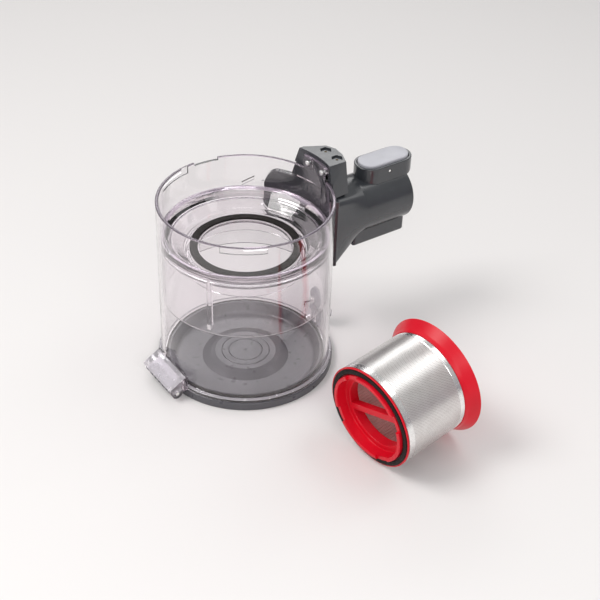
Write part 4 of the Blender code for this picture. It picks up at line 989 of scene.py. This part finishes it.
def make_button():
    height = BUTTON_TOP - BUTTON_LOW
    profile = rounded([
        (0.0, 0.0, 0),
        (BUTTON_RADIUS, 0.0, 0.2),
        (BUTTON_RADIUS, height - 0.35 * MM, 0.9),
        (0.0, height, 0),
    ], 6)[1:-1]
    for share in (0.75, 0.5, 0.25, 0.08):
        profile.append((BUTTON_RADIUS * share, height - 0.35 * MM * share * share))
    rings = [
        [(x, y, BUTTON_LOW + rise) for x, y in stadium(BUTTON_FROM, BUTTON_TO, radius)]
        for radius, rise in profile
    ]
    settle(mesh_object("wand_button_cap", loft(rings)), "wand_button", sharp=60.0)


# --- lid and latch ---
def make_lid():
    plug = CUP_BORE - 0.6 * MM - 1.7 * MM
    plug_top = LID_TOP + 3.0 * MM
    dish = plug - 5.7 * MM
    floor, plateau = 1.4 * MM, 4.6 * MM
    groove = 0.45 * MM
    rings = []
    for radius in (16.9 * MM, 11.9 * MM):
        rings += [(radius + groove, plateau, 0), (radius, plateau - groove, 0)]
        rings.append((radius - groove, plateau, 0))
    outline = rounded([
        (0.0, 1.6 * MM, 0),
        (22.5 * MM, 1.6 * MM, 0.5),
        (26.5 * MM, 0.0, 0.5),
        (dish, 0.0, 0.5),
        (dish + 3.0 * MM, 3.8 * MM, 0.5),
        (LID_RADIUS - 3.0 * MM, 3.8 * MM, 0.5),
        (LID_RADIUS - 3.0 * MM, 0.0, 0.4),
        (LID_RADIUS, 0.0, 0.8),
        (LID_RADIUS, LID_TOP, 0.9),
        (plug, LID_TOP, 0.2),
        (plug, plug_top, 0.5),
        (plug - 1.7 * MM, plug_top, 0.6),
        (dish, floor, 3.0),
        (30.5 * MM, floor, 1.0),
        (24.5 * MM, plateau - 0.9 * MM, 0.5),
        (21.5 * MM, plateau, 0.5),
        *rings,
        (1.4 * MM, plateau, 0),
        (1.0 * MM, plateau + 0.2 * MM, 0),
        (0.0, plateau + 0.2 * MM, 0),
    ])
    lid = mesh_object("bottom_lid_shell", turned(outline))
    x, z = HINGE_PIN.x, HINGE_PIN.z
    half = KNUCKLE_HALF - GAP
    knuckle = across(HINGE_PIN, half, KNUCKLE_RADIUS, BOSS_SIDES)
    web = box((x, -half, z - KNUCKLE_RADIUS), (-(LID_RADIUS - 2.7 * MM), half, z - GAP))
    tab_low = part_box("lid_latch")[0].z - 0.2 * MM
    tab_half = 5.0 * MM
    tab = box(
        (LID_RADIUS - 1.5 * MM, -tab_half, tab_low),
        (LID_RADIUS + 1.8 * MM, tab_half, tab_low + 4.0 * MM),
    )
    combine(lid, "UNION", [knuckle, web, tab])
    cuts = [across(HINGE_PIN, THROUGH, 1.5 * MM, PIN_SIDES)]
    floor_of_groove, clear_of_knuckle, groove_half = 3.35 * MM, 6.0 * MM, 0.9 * MM
    for place in (-9.6, -4.8, 0.0, 4.8, 9.6):
        groove_ring = turned([
            (floor_of_groove, -groove_half),
            (clear_of_knuckle, -groove_half),
            (clear_of_knuckle, groove_half),
            (floor_of_groove, groove_half),
        ], 48)
        lie = Matrix.Translation((x, place * MM, z)) @ Matrix.Rotation(math.radians(90), 4, "X")
        cuts.append(moved(groove_ring, lie))
    combine(lid, "DIFFERENCE", cuts)
    settle(lid, "bottom_lid")


def make_lid_seal():
    low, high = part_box("lid_seal")
    outer = high.y
    inner = outer - 1.7 * MM
    middle = (low.z + high.z) / 2
    outline = rounded([
        (inner, low.z, 0.2),
        (outer - 0.4 * MM, low.z, 0.3),
        (outer, middle, 0.4),
        (outer - 0.4 * MM, high.z, 0.3),
        (inner, high.z, 0.2),
    ])
    settle(mesh_object("lid_seal_rubber", turned(outline)), "lid_seal")


def make_latch():
    x, z = LATCH_PIN.x, LATCH_PIN.z
    inside, outside = x - 1.0 * MM, x + 2.0 * MM
    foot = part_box("lid_latch")[0].z
    centre = z + 10.0 * MM
    arm_half, boss_half = 4.7 * MM, 5.7 * MM
    arm = mesh_object("lid_latch_shell", box((inside, -arm_half, foot), (outside, arm_half, centre)))
    bevel(arm, 0.5 * MM, 3)
    paddle = turned(rounded([
        (0.0, 0.0, 0),
        (8.5 * MM, 0.0, 0.7),
        (8.5 * MM, 2.4 * MM, 0.7),
        (6.6 * MM, 2.4 * MM, 0.4),
        (5.9 * MM, 1.9 * MM, 0.6),
        (0.0, 1.7 * MM, 0),
    ]), 96)
    face_out = Matrix.Rotation(math.radians(90), 4, "Y")
    moved(paddle, Matrix.Translation((outside - 2.41 * MM, 0.0, centre)) @ face_out)
    boss = across(LATCH_PIN, boss_half, 3.01 * MM, 49)
    tooth = box(
        (LID_RADIUS + 2.3 * MM, -arm_half + INSET, foot + INSET),
        (outside - INSET, arm_half - INSET, foot + 2.4 * MM),
    )
    combine(arm, "UNION", [paddle, boss, tooth])
    combine(arm, "DIFFERENCE", [across(LATCH_PIN, 20.0 * MM, 1.3 * MM, PIN_SIDES)])
    settle(arm, "lid_latch")


# --- filter ---
def make_end_ring():
    inner = FILTER_COLLAR_RADIUS + GAP
    spigot = FILTER_RADIUS - 1.1 * MM
    seal_edge = inner + 3.8 * MM
    outline = rounded([
        (FILTER_RADIUS, 0.0, 0.35),
        (FILTER_RADIUS, 1.2 * MM, 0.25),
        (spigot, 1.2 * MM, 0),
        (spigot, 4.0 * MM, 0.3),
        (inner, 4.0 * MM, 0.3),
        (inner, 0.5 * MM, 0),
        (seal_edge, 0.5 * MM, 0),
        (seal_edge, 0.0, 0.1),
    ])
    ring = mesh_object("filter_end_ring_red", turned(outline, 180), filter_matrix())
    settle(ring, "filter_end_ring")


def make_filter_seal():
    inner = FILTER_COLLAR_RADIUS + 2 * GAP
    outer = inner + 3.2 * MM
    outline = rounded([
        (inner, 0.2 * MM, 0),
        (inner, -0.6 * MM, 0.3),
        ((inner + outer) / 2, -1.0 * MM, 1.4),
        (outer, -0.6 * MM, 0.3),
        (outer, 0.2 * MM, 0),
    ])
    seal = mesh_object("filter_seal_rubber", turned(outline, 180), filter_matrix())
    settle(seal, "filter_seal")


def make_filter_collar():
    bore = FILTER_COLLAR_RADIUS - 2.6 * MM
    shelf = 5.0 * MM
    outline = rounded([
        (FILTER_COLLAR_RADIUS, -2.7 * MM, 0.6),
        (FILTER_COLLAR_RADIUS, 12.0 * MM, 0.3),
        (bore - 4.2 * MM, 12.0 * MM, 0.5),
        (bore - 4.2 * MM, shelf, 0.6),
        (bore - 0.3 * MM, shelf, 0.6),
        (bore, -2.7 * MM, 0.6),
    ])
    matrix = filter_matrix()
    collar = mesh_object("filter_collar_red", turned(outline, 180), matrix)
    reach = bore - 2.1 * MM
    bar_half = 2.5 * MM
    low, high = (-bar_half, -reach, shelf + 0.2 * MM), (bar_half, reach, shelf + 5.0 * MM)
    bar = mesh_object("bar", box(low, high))
    bevel(bar, 0.6 * MM, 3)
    bar_shape = bmesh.new()
    bar_shape.from_mesh(bar.data)
    bpy.data.objects.remove(bar)
    turn = matrix @ Matrix.Rotation(math.radians(21.3), 4, "Z")
    combine(collar, "UNION", [bar_shape], turn)
    notches = []
    walls = bore - MM, FILTER_COLLAR_RADIUS + MM
    for number in range(4):
        start = 17.4 + 90.0 * number
        notches.append(wrapped(*walls, start, start + 22.0, -4.0 * MM, -1.1 * MM, 16))
    combine(collar, "DIFFERENCE", notches, matrix)
    settle(collar, "filter_collar")


def make_drum():
    """Punched sheet with a plain band at each end and fine ribs inside."""
    start, end = 1.5 * MM, FILTER_LENGTH - SKIRT_LENGTH - GAP
    outer = FILTER_RADIUS - 0.1 * MM
    inner = outer - 0.7 * MM
    front_band, rear_band = 4.6 * MM, 3.2 * MM
    sheet = outer - 0.12 * MM
    rings = [
        (outer, start), (outer, start + front_band - 0.2 * MM), (sheet, start + front_band),
        (sheet, end - rear_band), (outer, end - rear_band + 0.2 * MM), (outer, end),
        (inner, end), (inner, end - rear_band), (inner, start + front_band), (inner, start),
    ]
    zones = {0: 1, 1: 1, 3: 1, 4: 1, 6: 2, 7: 2, 8: 2}  # 1 is a band and 2 the inner face with its painted light
    ribs = round(2 * math.pi * inner / RIB_PITCH)
    per_rib = 4
    count = ribs * per_rib
    shape = bmesh.new()
    layer = shape.loops.layers.uv.new("around")
    rows = []
    for radius, height in rings:
        row = []
        for step in range(count):
            here = radius
            if radius == inner and start < height < end:
                here += (0.25 * MM if step % per_rib < 2 else -0.25 * MM)
            row.append(shape.verts.new(polar(here, 360.0 * step / count, height)))
        rows.append(row)
    for ring, (low, high) in enumerate(zip(rows, rows[1:] + rows[:1])):
        heights = rings[ring][1], rings[(ring + 1) % len(rings)][1]
        zone = zones.get(ring, 0)
        for step in range(count):
            after = (step + 1) % count
            face = shape.faces.new((low[step], low[after], high[after], high[step]))
            face.material_index = zone
            round_way = [2 * math.pi * outer * part / count for part in (step, step + 1)]
            corners = ((0, 0), (1, 0), (1, 1), (0, 1))
            for loop, (u, v) in zip(face.loops, corners):
                loop[layer].uv = (round_way[u], heights[v])
    tidy(shape)
    drum = mesh_object("filter_mesh_drum_steel", shape, filter_matrix())
    settle(drum, "filter_mesh_drum", BAND_STEEL, INNER_FACE_PAINTED_LIGHT, sharp=28.0)


def make_skirt():
    start = FILTER_LENGTH - SKIRT_LENGTH
    inner = FILTER_RADIUS - 2.0 * MM
    outline = rounded([
        (FILTER_RADIUS + 0.3 * MM, start, 0.4),
        (FILTER_RADIUS + 1.2 * MM, start + 2.6 * MM, 6.0),
        (SKIRT_RADIUS, FILTER_LENGTH - 0.4 * MM, 0.5),
        (SKIRT_RADIUS - 0.4 * MM, FILTER_LENGTH, 0.4),
        (SKIRT_RADIUS - 2.0 * MM, FILTER_LENGTH, 0.5),
        (FILTER_RADIUS - 0.5 * MM, start + 4.05 * MM, 1.5),
        (inner, start + 4.05 * MM, 0.4),
        (inner, start, 0.2),
    ])
    skirt = mesh_object("filter_skirt_red", turned(outline, 192), filter_matrix())
    settle(skirt, "filter_skirt")


def make_end_cap():
    start = FILTER_LENGTH - SKIRT_LENGTH
    radius = FILTER_RADIUS - 2.3 * MM
    top, groove_floor = start + 1.8 * MM, start + 1.4 * MM
    outline = [(0.0, start), (radius - 0.3 * MM, start)]
    outline += [(radius, start + 0.3 * MM), (radius, start + 1.5 * MM), (radius - 0.3 * MM, top)]
    for edge in (28.0, 20.0, 12.0):
        outline += [(edge * MM, top), ((edge - 0.4) * MM, groove_floor)]
        outline += [((edge - 1.2) * MM, groove_floor), ((edge - 1.6) * MM, top)]
    outline += [(0.0, top)]
    cap = mesh_object("filter_end_cap_red", turned(outline, 144), filter_matrix())
    settle(cap, "filter_end_cap")


# --- studio ---
def make_camera():
    right, up = Vector(CAMERA_RIGHT), Vector(CAMERA_UP)
    turn = Matrix((right, up, right.cross(up))).transposed().to_4x4()
    camera = bpy.data.objects.new("camera", bpy.data.cameras.new("camera"))
    camera.data.lens = CAMERA_LENS
    camera.data.clip_start = 0.01
    camera.matrix_world = Matrix.Translation(CAMERA_PLACE) @ turn
    SCENE.collection.objects.link(camera)
    SCENE.camera = camera


def make_lamp(name, place, target, size, power, colour):
    lamp = bpy.data.objects.new(name, bpy.data.lights.new(name, "AREA"))
    lamp.data.shape = "RECTANGLE"
    lamp.data.size, lamp.data.size_y = size
    lamp.data.energy = power
    lamp.data.color = colour
    lamp.location = place
    lamp.rotation_euler = (Vector(target) - Vector(place)).to_track_quat("-Z", "Y").to_euler()
    SCENE.collection.objects.link(lamp)


def make_world():
    """Pale studio that darkens towards the horizon, so that clear edges have something to bend."""
    world = bpy.data.worlds.new("studio")
    SCENE.world = world
    world.use_nodes = True
    tree = world.node_tree
    background = tree.nodes["Background"]
    place = tree.nodes.new("ShaderNodeTexCoord")
    parts = tree.nodes.new("ShaderNodeSeparateXYZ")
    ramp = tree.nodes.new("ShaderNodeValToRGB")
    set_stops(ramp, (0.02, 0.55), ((0.64, 0.58, 0.64), (1.0, 0.99, 0.985)))
    tree.links.new(place.outputs["Generated"], parts.inputs[0])
    tree.links.new(parts.outputs["Z"], ramp.inputs["Fac"])
    tree.links.new(ramp.outputs["Color"], background.inputs["Color"])
    background.inputs["Strength"].default_value = 0.47


def make_floor():
    """Pale floor with painted shade: its colour darkens by up to a fifth in one fixed direction,
    standing in for the light's fall-off.
    """
    mesh = bpy.data.meshes.new("floor")
    corners = [(x * FLOOR_HALF, y * FLOOR_HALF, 0) for x, y in ((-1, -1), (1, -1), (1, 1), (-1, 1))]
    mesh.from_pydata(corners, [], [(0, 1, 2, 3)])
    floor = bpy.data.objects.new("floor", mesh)
    look = Look("floor", FLOOR_COLOUR, 0.6)
    look.set("Specular IOR Level", 0.0)
    away = look.add("ShaderNodeVectorMath", operation="DOT_PRODUCT")
    away.inputs[1].default_value = FLOOR_PAINTED_SHADE_WAY
    look.link(look.place, away.inputs[0])
    share = look.ramp(away.outputs["Value"], 0.0, 1.0, -0.25, 0.85)
    # painted shade: the colour falls by up to a fifth across the floor in one fixed direction
    painted_shade_colour = tuple(channel * FLOOR_PAINTED_SHADE_SHARE for channel in FLOOR_COLOUR)
    look.link(look.ramp(share, FLOOR_COLOUR, painted_shade_colour, 0.0, 1.0), look.shader.inputs["Base Color"])
    look.bump(look.noise(400.0), 0.01 * MM)
    mesh.materials.append(look.material)
    SCENE.collection.objects.link(floor)


def make_studio():
    make_camera()
    make_world()
    make_floor()
    for lamp in LAMPS:
        make_lamp(*lamp)
    SCENE.view_settings.view_transform = "Standard"


dress_cad_nodes()
make_cup()
make_insert()
make_gasket()
make_connector()
make_tower()
make_screws()
make_collar()
make_button()
make_lid()
make_lid_seal()
make_latch()
make_end_ring()
make_filter_seal()
make_filter_collar()
make_drum()
make_skirt()
make_end_cap()
make_studio()
